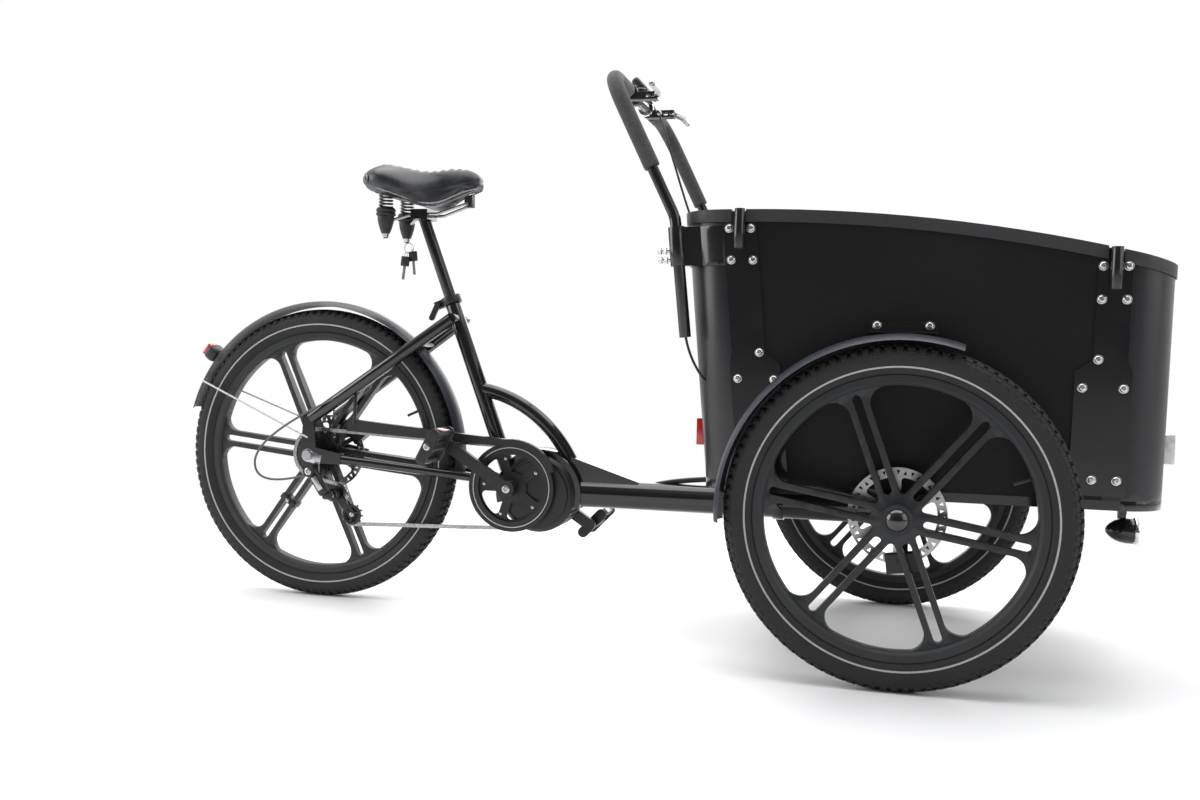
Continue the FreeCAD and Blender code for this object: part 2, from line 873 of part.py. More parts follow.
def dropout(side):
    inner = rear_hub_span / 2
    low = rear_wheel_r - dropout_half
    high = rear_wheel_r + dropout_top
    web = dropout_web
    corners = [(-web, high), (web, high), (dropout_half, rear_wheel_r + dropout_half)]
    stay_z = chainstay_rear[1]
    corners += [(dropout_front, stay_z + web), (dropout_front, stay_z - web), (hanger_x + web, low)]
    if side < 0:
        foot = rear_wheel_r - hanger_drop - web
        corners += [(hanger_x + web, foot), (hanger_x - web, foot)]
    corners += [(-dropout_half, low), (-dropout_half, rear_wheel_r + dropout_half)]
    sheet = plate(corners, inner, inner + dropout_thickness)
    hole = y_disc(0, rear_wheel_r, rear_axle_r, 0, inner + overrun)
    sheet = sheet.cut(hole)
    return sheet if side > 0 else mirrored(sheet)


def chainstays():
    points = [V(x, y, z) for x, z, y in (chainstay_front, chainstay_bend, chainstay_rear)]
    stay = swept(path_wire(points, chainstay_bend_r), chainstay_r).cut(motor_zone())
    stay = biggest(stay)
    return group([union([stay, dropout(1)]), union([mirrored(stay), dropout(-1)])])


def seatstay_line():
    top = seat_point(seatstay_top_z) + V(0, seatstay_top_y, 0)
    x, z, y = seatstay_low
    return top, V(x, y, z)


def bridge_end(top, low):
    # The point of the stay where a bar across the frame just meets the fender.
    away = V(top.x, 0, top.z - rear_wheel_r)
    down = V(low.x - top.x, 0, low.z - top.z)
    slant = away.dot(down)
    excess = away.dot(away) - (rear_fender_r + bridge_r) ** 2
    share = (-slant - math.sqrt(slant ** 2 - down.dot(down) * excess)) / down.dot(down)
    return top + (low - top) * share


def seatstays():
    top, low = seatstay_line()
    lug = rod(V(top.x, 0, top.z), V(top.x, lug_end_y, top.z), lug_r)
    stay = union([rod(top, low, seatstay_r), lug])
    stay = biggest(stay.cut([seat_rod(), dropout(1)]))
    centre = bridge_end(top, low)
    bridge = rod(V(centre.x, 0, centre.z), centre, bridge_r)
    half = union([stay, bridge])
    return union([half, mirrored(half)])


def seat_clamp():
    top = seat_point(seat_tube_top_z)
    up = (top - seat_point(seat_tube_low_z)).normalize()
    base = top - up * clamp_height
    ring = rod(base, top, clamp_r)
    ear = slab(-clamp_r - clamp_ear_reach, 0, -clamp_ear_half, clamp_ear_half, 0, clamp_height)
    ear.rotate(V(0, 0, 0), ACROSS, -seat_lean)
    ear.translate(base)
    slit = slab(-clamp_r - overrun, 0, -clamp_slit / 2, clamp_slit / 2, -overrun, clamp_height + overrun)
    slit.rotate(V(0, 0, 0), ACROSS, -seat_lean)
    slit.translate(base)
    inner = rod(base - up * overrun, top + up * overrun, seat_tube_r)
    whole = union([ring, ear]).cut([inner, slit])
    pin = clamp_pin(0)
    return union([whole, pin])


def clamp_pin(extra):
    top = seat_point(seat_tube_top_z)
    up = (top - seat_point(seat_tube_low_z)).normalize()
    back = V(-up.z, 0, up.x)
    middle = top - up * (clamp_height / 2) + back * (clamp_r + clamp_ear_reach / 2)
    end = clamp_ear_half + lever_thickness
    return rod(middle - V(0, end, 0), middle + V(0, clamp_ear_half, 0), lever_pin_r + extra)


def seat_lever():
    top = seat_point(seat_tube_top_z)
    up = (top - seat_point(seat_tube_low_z)).normalize()
    back = V(-up.z, 0, up.x)
    middle = top - up * (clamp_height / 2) + back * (clamp_r + clamp_ear_reach / 2)
    tip = middle + back * (lever_length / 2) - up * (lever_length / 2)
    y1 = -clamp_ear_half - side_gap / 2
    arm = obround(middle, tip, lever_width / 2, y1 - lever_thickness, y1)
    return arm.cut(clamp_pin(running_gap))


def head_bearings():
    bore = kingpin_r + running_gap
    plate_low = box_floor_z - rail_height + pivot_plate_drop
    low = head_tube_low
    high = head_tube_high
    x = wheelbase
    lower = z_disc(x, 0, head_bore_r, low, low + cup_height)
    lower = union([lower, z_disc(x, 0, cup_flange_r, low - cup_flange, low)])
    upper = z_disc(x, 0, head_bore_r, high - cup_height, high)
    upper = union([upper, z_disc(x, 0, cup_flange_r, high, plate_low - running_gap)])
    hole = z_disc(x, 0, bore, low - overrun, high + overrun)
    return group([lower.cut(hole), upper.cut(hole)])


# Motor and drive

def motor():
    chamfer = motor_rim_chamfer
    r = motor_r
    section = [(motor_right_y, 0), (motor_right_y, r - chamfer), (motor_right_y + chamfer, r)]
    section += [(motor_left_y - chamfer, r), (motor_left_y, r - chamfer), (motor_left_y, 0)]
    body = spun(section, motor_ahead, motor_height, 0, 360)
    cover_y = motor_right_y - motor_cover_height
    cover = y_disc(motor_ahead, motor_height, motor_cover_r, cover_y, motor_right_y)
    boss_y = motor_right_y - motor_boss_y
    bosses = [y_disc(crank_ahead, crank_height, motor_boss_r, boss_y, motor_left_y + motor_boss_y)]
    whole = union([body, cover] + bosses)
    half = fin_slot / 2
    fin = slab(r - fin_depth, r + overrun, motor_right_y + chamfer, motor_left_y - chamfer, -half, half)
    fin = moved(fin, motor_ahead, 0, motor_height)
    step = fin_sweep / (fin_count - 1)
    turns = [fin_first_angle + step * k for k in range(fin_count)]
    fins = [turned(fin, motor_ahead, motor_height, turn) for turn in turns]
    shaft = y_disc(crank_ahead, crank_height, spindle_r + clear_gap, -overrun, overrun)
    return whole.cut(fins + [shaft])


def pitch_r(teeth):
    return chain_pitch / (2 * math.sin(math.pi / teeth))


def sprocket(x, z, teeth, y, thickness, phase):
    r = pitch_r(teeth)
    root = r - roller_r - root_gap
    tip = r + tooth_tip
    step = 2 * math.pi / teeth
    root_turn = tooth_root_half / root
    tip_turn = tooth_tip_half / tip
    points = []
    for k in range(teeth):
        valley = phase + step * k
        marks = [(root, root_turn), (tip, tip_turn), (tip, step - tip_turn), (root, step - root_turn)]
        points += [(x + q * math.cos(valley + t), z + q * math.sin(valley + t)) for q, t in marks]
    return plate(points, y - thickness / 2, y + thickness / 2)


def pulley_centres(turn):
    guide = (guide_pulley_x, rear_wheel_r - guide_pulley_drop)
    angle = math.radians(cage_angle) + turn
    tension = (guide[0] + cage_length * math.cos(angle), guide[1] + cage_length * math.sin(angle))
    return guide, tension


def chain_route(turn):
    # Ring, large cog, guide pulley and tension pulley in the order the chain meets them.
    guide, tension = pulley_centres(turn)
    wheels = [(crank_ahead, crank_height, pitch_r(ring_teeth), 1, -chain_line)]
    wheels.append((0, rear_wheel_r, pitch_r(cog_teeth[0]), 1, -cog_first_y))
    wheels.append((guide[0], guide[1], pitch_r(pulley_teeth), -1, -cog_first_y))
    wheels.append((tension[0], tension[1], pitch_r(pulley_teeth), 1, -cog_first_y))
    ways = []
    for a, b in zip(wheels, wheels[1:] + wheels[:1]):
        dx = b[0] - a[0]
        dz = b[1] - a[1]
        far = math.hypot(dx, dz)
        ways.append(math.atan2(dz, dx) + math.asin((a[3] * a[2] - b[3] * b[2]) / far))
    runs = []
    travelled = 0
    for k, (x, z, r, way, y) in enumerate(wheels):
        come = ways[k - 1]
        leave = ways[k]
        bent = ((leave - come) * way) % (2 * math.pi)
        start = come - way * math.pi / 2
        runs.append(("wrap", travelled, r * bent, (x, z, r, way, start, y)))
        travelled += r * bent
        after = wheels[(k + 1) % len(wheels)]
        end = start + way * bent
        p = (x + r * math.cos(end), z + r * math.sin(end))
        next_start = leave - after[3] * math.pi / 2
        q = (after[0] + after[2] * math.cos(next_start), after[1] + after[2] * math.sin(next_start))
        far = math.hypot(q[0] - p[0], q[1] - p[1])
        runs.append(("run", travelled, far, (p, q, y, after[4])))
        travelled += far
    return runs, travelled


def settle_cage():
    # Turn of the cage at which a whole, even number of links closes the loop.
    length = chain_route(0)[1]
    links = 2 * round(length / chain_pitch / 2)
    turn = 0
    probe = 1 / 1000
    for _ in range(settle_rounds):
        here = chain_route(turn)[1]
        slope = (chain_route(turn + probe)[1] - here) / probe
        turn -= (here - links * chain_pitch) / slope
    return turn, links


cage_turn, link_total = settle_cage()
chain_runs, chain_length = chain_route(cage_turn)


def chain_point(s):
    s = s % chain_length
    for kind, start, length, data in chain_runs:
        if s <= start + length:
            break
    if kind == "wrap":
        x, z, r, way, angle, y = data
        angle += way * (s - start) / r
        return V(x + r * math.cos(angle), y, z + r * math.sin(angle))
    p, q, y0, y1 = data
    t = (s - start) / length
    straight = straight_links * chain_pitch
    u = min(max((s - start - straight) / (length - 2 * straight), 0), 1)
    y = y0 + (y1 - y0) * u * u * (3 - 2 * u)
    return V(p[0] + (q[0] - p[0]) * t, y, p[1] + (q[1] - p[1]) * t)


def wheel_phase(index):
    kind, start, length, (x, z, r, way, angle, y) = chain_runs[2 * index]
    middle = round((start + length / 2) / chain_pitch) * chain_pitch
    return angle + way * (middle - start) / r


def chain():
    p = V(-chain_pitch / 2, 0, 0)
    q = V(chain_pitch / 2, 0, 0)
    half = link_inner_width / 2
    inner = obround(p, q, link_half_height, half, half + link_plate)
    rollers = [y_disc(x, 0, roller_r, -half, half) for x in (p.x, q.x)]
    inner_link = union([inner, mirrored(inner)] + rollers)
    gap = half + link_plate + running_gap
    outer = obround(p, q, link_half_height, gap, gap + link_plate)
    outer_link = group([outer, mirrored(outer)])
    links = []
    for k in range(link_total):
        a = chain_point(k * chain_pitch)
        b = chain_point((k + 1) * chain_pitch)
        ahead = (b - a).normalize()
        side = (ACROSS - ahead * ahead.dot(ACROSS)).normalize()
        up = ahead.cross(side)
        middle = (a + b) / 2
        frame = FreeCAD.Matrix(ahead.x, side.x, up.x, middle.x, ahead.y, side.y, up.y, middle.y,
                               ahead.z, side.z, up.z, middle.z, 0, 0, 0, 1)
        link = (inner_link if k % 2 else outer_link).copy()
        link.Placement = FreeCAD.Placement(frame)
        links.append(link)
    return group(links)


def chainring():
    x, z = crank_ahead, crank_height
    ring = sprocket(x, z, ring_teeth, -chain_line, sprocket_thickness, wheel_phase(0))
    r = pitch_r(ring_teeth) - roller_r - ring_band
    y0 = -chain_line - overrun
    y1 = -chain_line + overrun
    fillet = ring_window_fillet
    gap = window(r, ring_arm_width / 2, ring_arm_count, fillet, fillet, y0, y1)
    keep = y_disc(0, 0, ring_centre_r, y0, y1)
    gap = moved(gap.cut(keep), x, 0, z)
    step = 360 / ring_arm_count
    tools = [turned(gap, x, z, step * k) for k in range(ring_arm_count)]
    tools.append(y_disc(x, z, crank_boss_r, y0, y1))
    ring = ring.cut(tools)
    face = -chain_line - sprocket_thickness / 2
    near = -chain_line - link_inner_width / 2 - 2 * link_plate - guard_ring_gap
    far = near - guard_ring_thickness
    guard = y_ring(x, z, guard_ring_r, guard_ring_r - guard_ring_band, far, near)
    bolts = []
    for k in range(ring_arm_count):
        spot = polar(x, z, guard_ring_r - guard_bolt_inset, step * (k + 1 / 2), 0)
        bolts.append(y_disc(spot.x, spot.z, guard_bolt_r, near, face))
    return group([ring, union([guard] + bolts)])


def crank_arms():
    hub = V(crank_ahead, 0, crank_height)
    tip = polar(crank_ahead, crank_height, crank_length, crank_angle, 0)
    y0 = crank_arm_y
    y1 = crank_arm_y + crank_arm_thickness
    arm = union([obround(hub, tip, crank_end_r, y0, y1), y_disc(hub.x, hub.z, crank_boss_r, y0, y1)])
    axle_end = pedal_inner_y + pedal_width - pedal_plate
    axle = y_disc(tip.x, tip.z, pedal_axle_r, y0, axle_end)
    left = turned(union([arm, axle]), hub.x, hub.z, 180)
    right = mirrored(union([arm, axle]))
    boss = y_disc(hub.x, hub.z, crank_boss_r, -y0, -chain_line + sprocket_thickness / 2)
    spindle = y_disc(hub.x, hub.z, spindle_r, -y0, y0)
    return union([left, right, boss, spindle])


def pedal(side):
    tip = polar(crank_ahead, crank_height, crank_length, crank_angle + (180 if side > 0 else 0), 0)
    y0 = pedal_inner_y
    y1 = pedal_inner_y + pedal_width
    half = pedal_length / 2
    high = pedal_height / 2
    pieces = [y_disc(0, 0, pedal_barrel_r, y0, y1)]
    for y in (y0, y1 - pedal_plate):
        pieces.append(obround(V(high - half, 0, 0), V(half - high, 0, 0), high, y, y + pedal_plate))
    bar = pedal_bar
    for x in (-half + bar / 2, half - bar * 3 / 2):
        pieces.append(slab(x, x + bar, y0, y1, -high * 2 / 3, high * 2 / 3))
    body = union(pieces)
    body = body.cut(y_disc(0, 0, pedal_axle_r + running_gap, y0 - overrun, y1 - pedal_plate + running_gap))
    middle = (y0 + y1) / 2
    wide = pedal_reflector_length / 2
    tall = pedal_reflector_height / 2
    depth = pedal_reflector_depth
    lenses = []
    for x in (-half + bar / 2 - depth, half - bar / 2):
        lenses.append(slab(x, x + depth, middle - wide, middle + wide, -tall, tall))
    tilt = left_pedal_tilt if side > 0 else right_pedal_tilt
    whole = turned(moved(group([body] + lenses), tip.x, 0, tip.z), tip.x, tip.z, tilt)
    return whole if side > 0 else mirrored(whole)


def cassette():
    barrel = y_disc(0, rear_wheel_r, freehub_r, -freehub_outer_y, -freehub_inner_y)
    cogs = [barrel]
    for k, teeth in enumerate(cog_teeth):
        phase = wheel_phase(1) if k == 0 else 0
        y = -cog_first_y - cog_spacing * k
        cogs.append(sprocket(0, rear_wheel_r, teeth, y, sprocket_thickness, phase))
    bore = y_disc(0, rear_wheel_r, rear_sleeve_r + running_gap, -freehub_outer_y - overrun, overrun)
    return union(cogs).cut(bore)


def rear_axle():
    span = rear_hub_span / 2
    end = span + dropout_thickness + axle_nut_height
    rods = [y_disc(0, rear_wheel_r, rear_axle_r, -end, end)]
    rods.append(y_disc(0, rear_wheel_r, rear_sleeve_r, -span, span))
    for y in (-end, span + dropout_thickness):
        rods.append(y_disc(0, rear_wheel_r, axle_nut_r, y, y + axle_nut_height))
    return union(rods)


def derailleur_body():
    guide, tension = pulley_centres(cage_turn)
    out = rear_hub_span / 2 + dropout_thickness
    high = V(hanger_x, -out - link_bar * 3 / 2, rear_wheel_r - hanger_drop)
    upper = y_disc(high.x, high.z, knuckle_r, -out - 2 * link_bar, -out)
    near = -cog_first_y - cage_half - cage_plate - knuckle_gap
    far = near - 2 * link_bar
    lower = y_disc(guide[0], guide[1], knuckle_r, far, near)
    bar = rod(high, V(guide[0], far + link_bar / 2, guide[1]), link_bar / 2)
    pin = y_disc(guide[0], guide[1], pulley_bolt_r * 2 + running_gap, far + link_bar / 2, near + overrun)
    return union([upper, bar, lower]).cut(pin)


def derailleur_cage():
    guide, tension = [V(x, 0, z) for x, z in pulley_centres(cage_turn)]
    inner = -cog_first_y + cage_half
    outer = -cog_first_y - cage_half
    plates = [obround(guide, tension, cage_width_r, inner, inner + cage_plate)]
    plates.append(obround(guide, tension, cage_width_r, outer - cage_plate, outer))
    for spot in (guide, tension):
        plates.append(y_disc(spot.x, spot.z, pulley_bolt_r, outer, inner))
    pin_end = outer - cage_plate - knuckle_gap - link_bar
    plates.append(y_disc(guide.x, guide.z, pulley_bolt_r * 2, pin_end, outer))
    return union(plates)


def pulley(index):
    x, z = pulley_centres(cage_turn)[index]
    wheel = sprocket(x, z, pulley_teeth, -cog_first_y, pulley_thickness, wheel_phase(2 + index))
    boss = y_disc(x, z, pulley_hub_r, -cog_first_y - pulley_thickness, -cog_first_y + pulley_thickness)
    hole = y_disc(x, z, pulley_bolt_r + running_gap, -overrun, 0)
    return union([wheel, boss]).cut(hole)


def guard_outline(depth, rear_depth):
    x, z = crank_ahead, crank_height
    y = -chain_guard_inner_y - chain_guard_sheet
    first = chain_guard_join_angle
    last = chain_guard_end_angle
    angles = (first, (first + last) / 2, last)
    radii = (chain_guard_r, chain_guard_r - depth)
    spots = [polar(x, z, r, angle, y) for r in radii for angle in angles]
    top = V(chain_guard_rear_x, y, chain_guard_rear_z)
    low = top - V(0, 0, rear_depth)
    edges = [line(top, spots[0]), arc(*spots[:3]), line(spots[2], spots[-1])]
    edges += [arc(*reversed(spots[3:])), line(spots[3], low), line(low, top)]
    return Part.Face(Part.Wire(edges))


def chain_guard():
    web = guard_outline(chain_guard_band, chain_guard_height).extrude(V(0, chain_guard_sheet, 0))
    roof = guard_outline(chain_guard_sheet, chain_guard_sheet).extrude(V(0, chain_guard_roof, 0))
    top, low = seatstay_line()
    x = chain_guard_rear_x + guard_strut
    t = (top.x - x) / (top.x - low.x)
    stay = top + (low - top) * t
    foot = V(x, -chain_guard_inner_y - chain_guard_sheet / 2, chain_guard_rear_z - chain_guard_height / 2)
    strut = rod(V(x, foot.y, foot.z), V(stay.x, -stay.y, stay.z), guard_strut / 4)
    return biggest(union([web, roof, strut]).cut(seatstays()))


# Fenders and lights

def fender(x, z, y, r, width, start, sweep):
    half = width / 2
    low = r - fender_drop
    sheet = fender_sheet

    def at_r(side, radius):
        return V(x + radius, y + side, z)

    edges = [arc(at_r(-half, low), at_r(0, r), at_r(half, low))]
    edges.append(line(at_r(half, low), at_r(half - sheet, low)))
    edges.append(arc(at_r(half - sheet, low), at_r(0, r - sheet), at_r(sheet - half, low)))
    edges.append(line(at_r(sheet - half, low), at_r(-half, low)))
    face = Part.Face(Part.Wire(edges))
    return turned(face.revolve(V(x, 0, z), SIDE_AXIS, sweep), x, z, start)


def rear_fender():
    z = rear_wheel_r
    shell = fender(0, z, 0, rear_fender_r, fender_width, rear_fender_start, rear_fender_sweep)
    edge = fender_width / 2
    eye_y = rear_hub_span / 2 + dropout_thickness + fender_wire_r
    tip = polar(0, z, rear_fender_r - fender_drop, fender_wire_angle, edge + fender_wire_r / 2)
    eye = V(0, eye_y, wire_eye_z)
    wire = biggest(rod(tip, eye, fender_wire_r).cut([shell, dropout(1), seatstays()]))
    return group([shell, both_sides(wire)])


def rear_light():
    half = rear_light_width / 2
    high = rear_light_height / 2
    r = rear_fender_r - fender_sheet
    depth = rear_light_depth
    case = slab(r, r + depth, -half, half, -high, high)
    lens = slab(r + depth, r + depth + rear_lens_depth, -half, half, -high, high)
    shell = fender(0, 0, 0, rear_fender_r, fender_width, -rear_light_zone_angle, 2 * rear_light_zone_angle)
    shapes = [case.cut(shell), lens]
    shapes[0] = biggest(shapes[0])
    return group([turned(moved(s, 0, 0, rear_wheel_r), 0, rear_wheel_r, rear_light_angle) for s in shapes])


# Load box

def lean_at(low_x, lean, z):
    return low_x + lean * (z - box_floor_z) / lean_height


def bow_face(seam, wall, way, outset, inset, z):
    centre = wall - way * corner_r
    flat = box_half_width - corner_r
    out_r = corner_r + outset
    in_r = corner_r - inset
    diagonal = math.sqrt(1 / 2)

    def side(r, s):
        corner = V(centre + way * r * diagonal, s * (flat + r * diagonal), z)
        end = V(centre + way * r, s * flat, z)
        return [V(seam, s * (flat + r), z), V(centre, s * (flat + r), z), corner, end]

    edges = []
    for r in (out_r, in_r):
        a = side(r, -1)
        b = side(r, 1)
        edges += [line(a[0], a[1]), arc(a[1], a[2], a[3]), line(a[3], b[3])]
        edges += [arc(b[3], b[2], b[1]), line(b[1], b[0])]
    edges += [line(side(out_r, s)[0], side(in_r, s)[0]) for s in (-1, 1)]
    return Part.Face(Part.Wire(Part.__sortEdges__(edges)))


def rear_bow(outset, inset):
    face = bow_face(rear_seam_x, box_rear_low_x, -1, outset, inset, box_floor_z)
    return face.extrude(V(rear_lean_x, 0, lean_height))


def front_bow(outset, inset):
    face = bow_face(front_seam_x, box_front_low_x, 1, outset, inset, box_floor_z)
    return face.extrude(V(front_lean_x, 0, lean_height))


def below_rim(offset):
    high = rim_high_z - offset
    x0 = box_rear_low_x + rear_lean_x - overrun
    x1 = box_front_low_x + front_lean_x + overrun
    low = high - rim_curve_r

    def on_curve(x):
        return V(x, 0, low + math.sqrt(rim_curve_r ** 2 - (x - rim_curve_start_x) ** 2))

    start = on_curve(rim_curve_start_x)
    end = on_curve(x1)
    middle = on_curve((rim_curve_start_x + x1) / 2)
    edges = [line(V(x0, 0, 0), V(x0, 0, high)), line(V(x0, 0, high), start), arc(start, middle, end)]
    edges += [line(end, V(x1, 0, 0)), line(V(x1, 0, 0), V(x0, 0, 0))]
    wide = box_half_width + overrun
    return moved(Part.Face(Part.Wire(edges)).extrude(V(0, 2 * wide, 0)), 0, -wide, 0)


def rim_z(x):
    past = max(0, x - rim_curve_start_x)
    return rim_high_z - rim_curve_r + math.sqrt(rim_curve_r ** 2 - past ** 2)


def box_rear_panel():
    return rear_bow(0, panel).common(below_rim(0))


def box_front_panel():
    return front_bow(0, panel).common(below_rim(0))


def side_raw(y0, y1):
    high = box_floor_z + lean_height
    corners = [(rear_seam_x, box_floor_z), (rear_seam_x + rear_lean_x, high)]
    corners += [(front_seam_x + front_lean_x, high), (front_seam_x, box_floor_z)]
    return plate(corners, y0, y1)


def box_sides():
    side = side_raw(box_half_width - panel, box_half_width).common(below_rim(0))
    return both_sides(side)


def rim_trim():
    band = below_rim(-trim_crown).cut(below_rim(trim_depth))
    wall = trim_wall
    slots = []
    half = socket_slot / 2
    for low_x, lean in ((rear_seam_x, rear_lean_x), (front_seam_x, front_lean_x)):
        x = lean_at(low_x, lean, rim_z(low_x))
        high = rim_high_z + overrun
        for y in (-box_half_width, box_half_width):
            slots.append(slab(x - half, x + half, y - overrun, y + overrun, box_floor_z, high))
    shapes = [rear_bow(wall, panel + wall).common(band).cut(box_rear_panel())]
    shapes.append(front_bow(wall, panel + wall).common(band).cut(box_front_panel()))
    side = side_raw(box_half_width - panel - wall, box_half_width + wall).common(band).cut(box_sides())
    shapes += [side, mirrored(side)]
    return group([biggest(shape.cut(slots)) for shape in shapes])


def box_floor():
    gap = floor_gap
    inset = panel + gap
    r = corner_r - inset
    rear = box_rear_low_x + inset
    front = box_front_low_x - inset
    half = box_half_width - inset
    body = slab(rear, front, -half, half, box_floor_z, box_floor_z + floor_thickness)
    edges = [e for e in body.Edges if abs(e.tangentAt(e.FirstParameter).z) > 1 / 2]
    return body.makeFillet(r, edges)


def plate_spots(front):
    low_x, lean, way = (front_seam_x, front_lean_x, -1) if front else (rear_seam_x, rear_lean_x, 1)
    rows = front_bolt_rows_z if front else rear_bolt_rows_z
    spots = []
    for z in rows:
        x = lean_at(low_x, lean, z)
        spots += [(x - bolt_half, z), (x + bolt_half, z)]
    spots.append((lean_at(low_x, lean, lone_bolt_z) + way * bolt_half, lone_bolt_z))
    x = lean_at(low_x, lean, wide_bolt_z) + way * wide_bolt_shift
    spots += [(x - wide_bolt_half, wide_bolt_z), (x + wide_bolt_half, wide_bolt_z)]
    return spots


def corner_plate(front):
    low_x, lean, way = (front_seam_x, front_lean_x, -1) if front else (rear_seam_x, rear_lean_x, 1)
    half = (front_plate_width if front else rear_plate_width) / 2
    top = rim_z(lean_at(low_x, lean, rim_high_z)) - plate_head_gap
    kink = plate_kink_z
    upper = kink + plate_kink_rise
    shift = way * wide_bolt_shift

    def edge(z, side):
        return (lean_at(low_x, lean, z) + side, z)

    corners = [edge(top, -half), edge(top, half), edge(upper, half)]
    corners += [edge(kink, shift + plate_foot_half)]
    corners += [edge(plate_foot_z, shift + plate_foot_half), edge(plate_foot_z, shift - plate_foot_half)]
    corners += [edge(kink, shift - plate_foot_half), edge(upper, -half)]
    y0 = box_half_width
    y1 = y0 + plate_thickness
    sheet = plate(corners, y0, y1)
    x = lean_at(low_x, lean, top)
    high = rim_z(x) + trim_crown
    low = high - socket_length
    y = y1 + socket_stand
    tube = z_disc(x, y, socket_r, low, high)
    keep = slab(x - overrun, x + overrun, y0, y + overrun, low - overrun, high + overrun)
    bore = z_disc(x, y, socket_bore_r, low + plate_thickness, high + overrun)
    return union([sheet, tube.common(keep)]).cut(bore)


def corner_plates():
    return group([both_sides(corner_plate(False)), both_sides(corner_plate(True))])


def panel_bolts():
    y0 = box_half_width + plate_thickness
    heads = []
    for front in (False, True):
        for x, z in plate_spots(front):
            heads.append(y_disc(x, z, bolt_head_r, y0, y0 + bolt_head_height))
    for x in (-1, 1):
        spot = wheelbase + x * (stay_length / 2 - 2 * bolt_head_r)
        z = front_wheel_r + front_fender_r + stay_sheet + stay_flange / 2
        face = box_half_width + stay_sheet
        heads.append(y_disc(spot, z, bolt_head_r, face, face + bolt_head_height))
    for z in pinch_bolt_z:
        root = leg_point(z) - V(sleeve_r, 0, 0)
        end = root - V(pinch_bolt_length, 0, 0)
        cap = rod(end, end + V(bolt_head_height, 0, 0), pinch_bolt_head_r)
        heads.append(union([rod(end, root, pinch_bolt_r), cap]).cut(sleeve_core()))
    return both_sides(group(heads))


def leg_point(z):
    t = (z - leg_low[1]) / (leg_bend[1] - leg_low[1])
    return V(leg_low[0] + (leg_bend[0] - leg_low[0]) * t, bar_half_width, z)


def sleeve_core():
    return rod(leg_point(strap_low_z), leg_point(strap_high_z), sleeve_r)


def bar_clamps():
    band = rear_bow(strap_thickness, 0)
    far = box_half_width + overrun
    zone = slab(0, strap_front_x, strap_inner_y, far, strap_low_z, strap_high_z)
    band = band.common(zone).cut(corner_plate(False))
    band = biggest(band)
    half = sleeve_r / 2
    middle = leg_point((strap_low_z + strap_high_z) / 2)
    y0 = bar_half_width - half
    y1 = bar_half_width + half
    web = slab(middle.x, middle.x + corner_r, y0, y1, strap_low_z, strap_high_z)
    web = biggest(web.cut(rear_bow(0, corner_r / 2)))
    bore = rod(leg_point(strap_low_z - overrun), leg_point(strap_high_z + overrun), bar_r + slide_gap)
    return both_sides(biggest(union([band, web, sleeve_core()]).cut(bore)))


def box_reflectors():
    half = reflector_width / 2
    z0 = reflector_z
    z1 = reflector_z + reflector_height
    y0 = reflector_y - half
    y1 = reflector_y + half
    rear_x = lean_at(box_rear_low_x, rear_lean_x, z1)
    rear = slab(rear_x - reflector_depth, rear_x + corner_r / 2, y0, y1, z0, z1)
    rear = min(rear.cut(rear_bow(0, corner_r / 2)).Solids, key=lambda solid: solid.CenterOfMass.x)
    front_x = box_front_low_x + front_lean_x
    front = slab(front_x - corner_r / 2, front_x + reflector_depth, y0, y1, z0, z1)
    front = max(front.cut(front_bow(0, corner_r / 2)).Solids, key=lambda solid: solid.CenterOfMass.x)
    return both_sides(group([rear, front]))


# Carriage

def carriage_rails():
    high = box_floor_z
    low = high - rail_height
    inner = box_half_width - rail_width
    rail = slab(rear_seam_x, front_seam_x, inner, box_half_width, low, high)
    cross = [slab(x, x + cross_width, -inner, inner, low, high) for x in (cross_rear_x, cross_front_x)]
    hole = z_disc(wheelbase, 0, kingpin_r, low - overrun, high + overrun)
    half = pivot_plate_half
    rear = cross_rear_x + cross_width
    pivot = slab(rear, cross_front_x, -half, half, low + pivot_plate_drop, high).cut(hole)
    return group([both_sides(rail)] + cross + [pivot])


def carriage_bows():
    low = box_floor_z - rail_height
    rise = V(0, 0, rail_height)
    rear = bow_face(rear_seam_x, box_rear_low_x, -1, 0, rail_width, low).extrude(rise)
    front = bow_face(front_seam_x, box_front_low_x, 1, 0, rail_width, low).extrude(rise)
    return group([rear, front])


def axle_blocks():
    high = box_floor_z - rail_height
    half = axle_block_length / 2
    x0 = wheelbase - half
    x1 = wheelbase + half
    block = slab(x0, x1, axle_block_inner_y, box_half_width, high - axle_block_drop, high)
    hub_in = track / 2 - front_hub_width / 2
    hub_out = track / 2 + front_hub_width / 2
    shoulder_end = hub_in - side_gap / 2
    shoulder = y_disc(wheelbase, front_wheel_r, axle_shoulder_r, box_half_width, shoulder_end)
    stub = y_disc(wheelbase, front_wheel_r, front_axle_r, axle_block_inner_y, hub_out - side_gap)
    return both_sides(union([block, shoulder, stub]))


def kingpin():
    pin = z_disc(wheelbase, 0, kingpin_r, kingpin_low, box_floor_z)
    nut_high = head_tube_low - cup_flange - running_gap
    nut = z_disc(wheelbase, 0, kingpin_nut_r, nut_high - kingpin_nut_height, nut_high)
    return union([pin, nut])


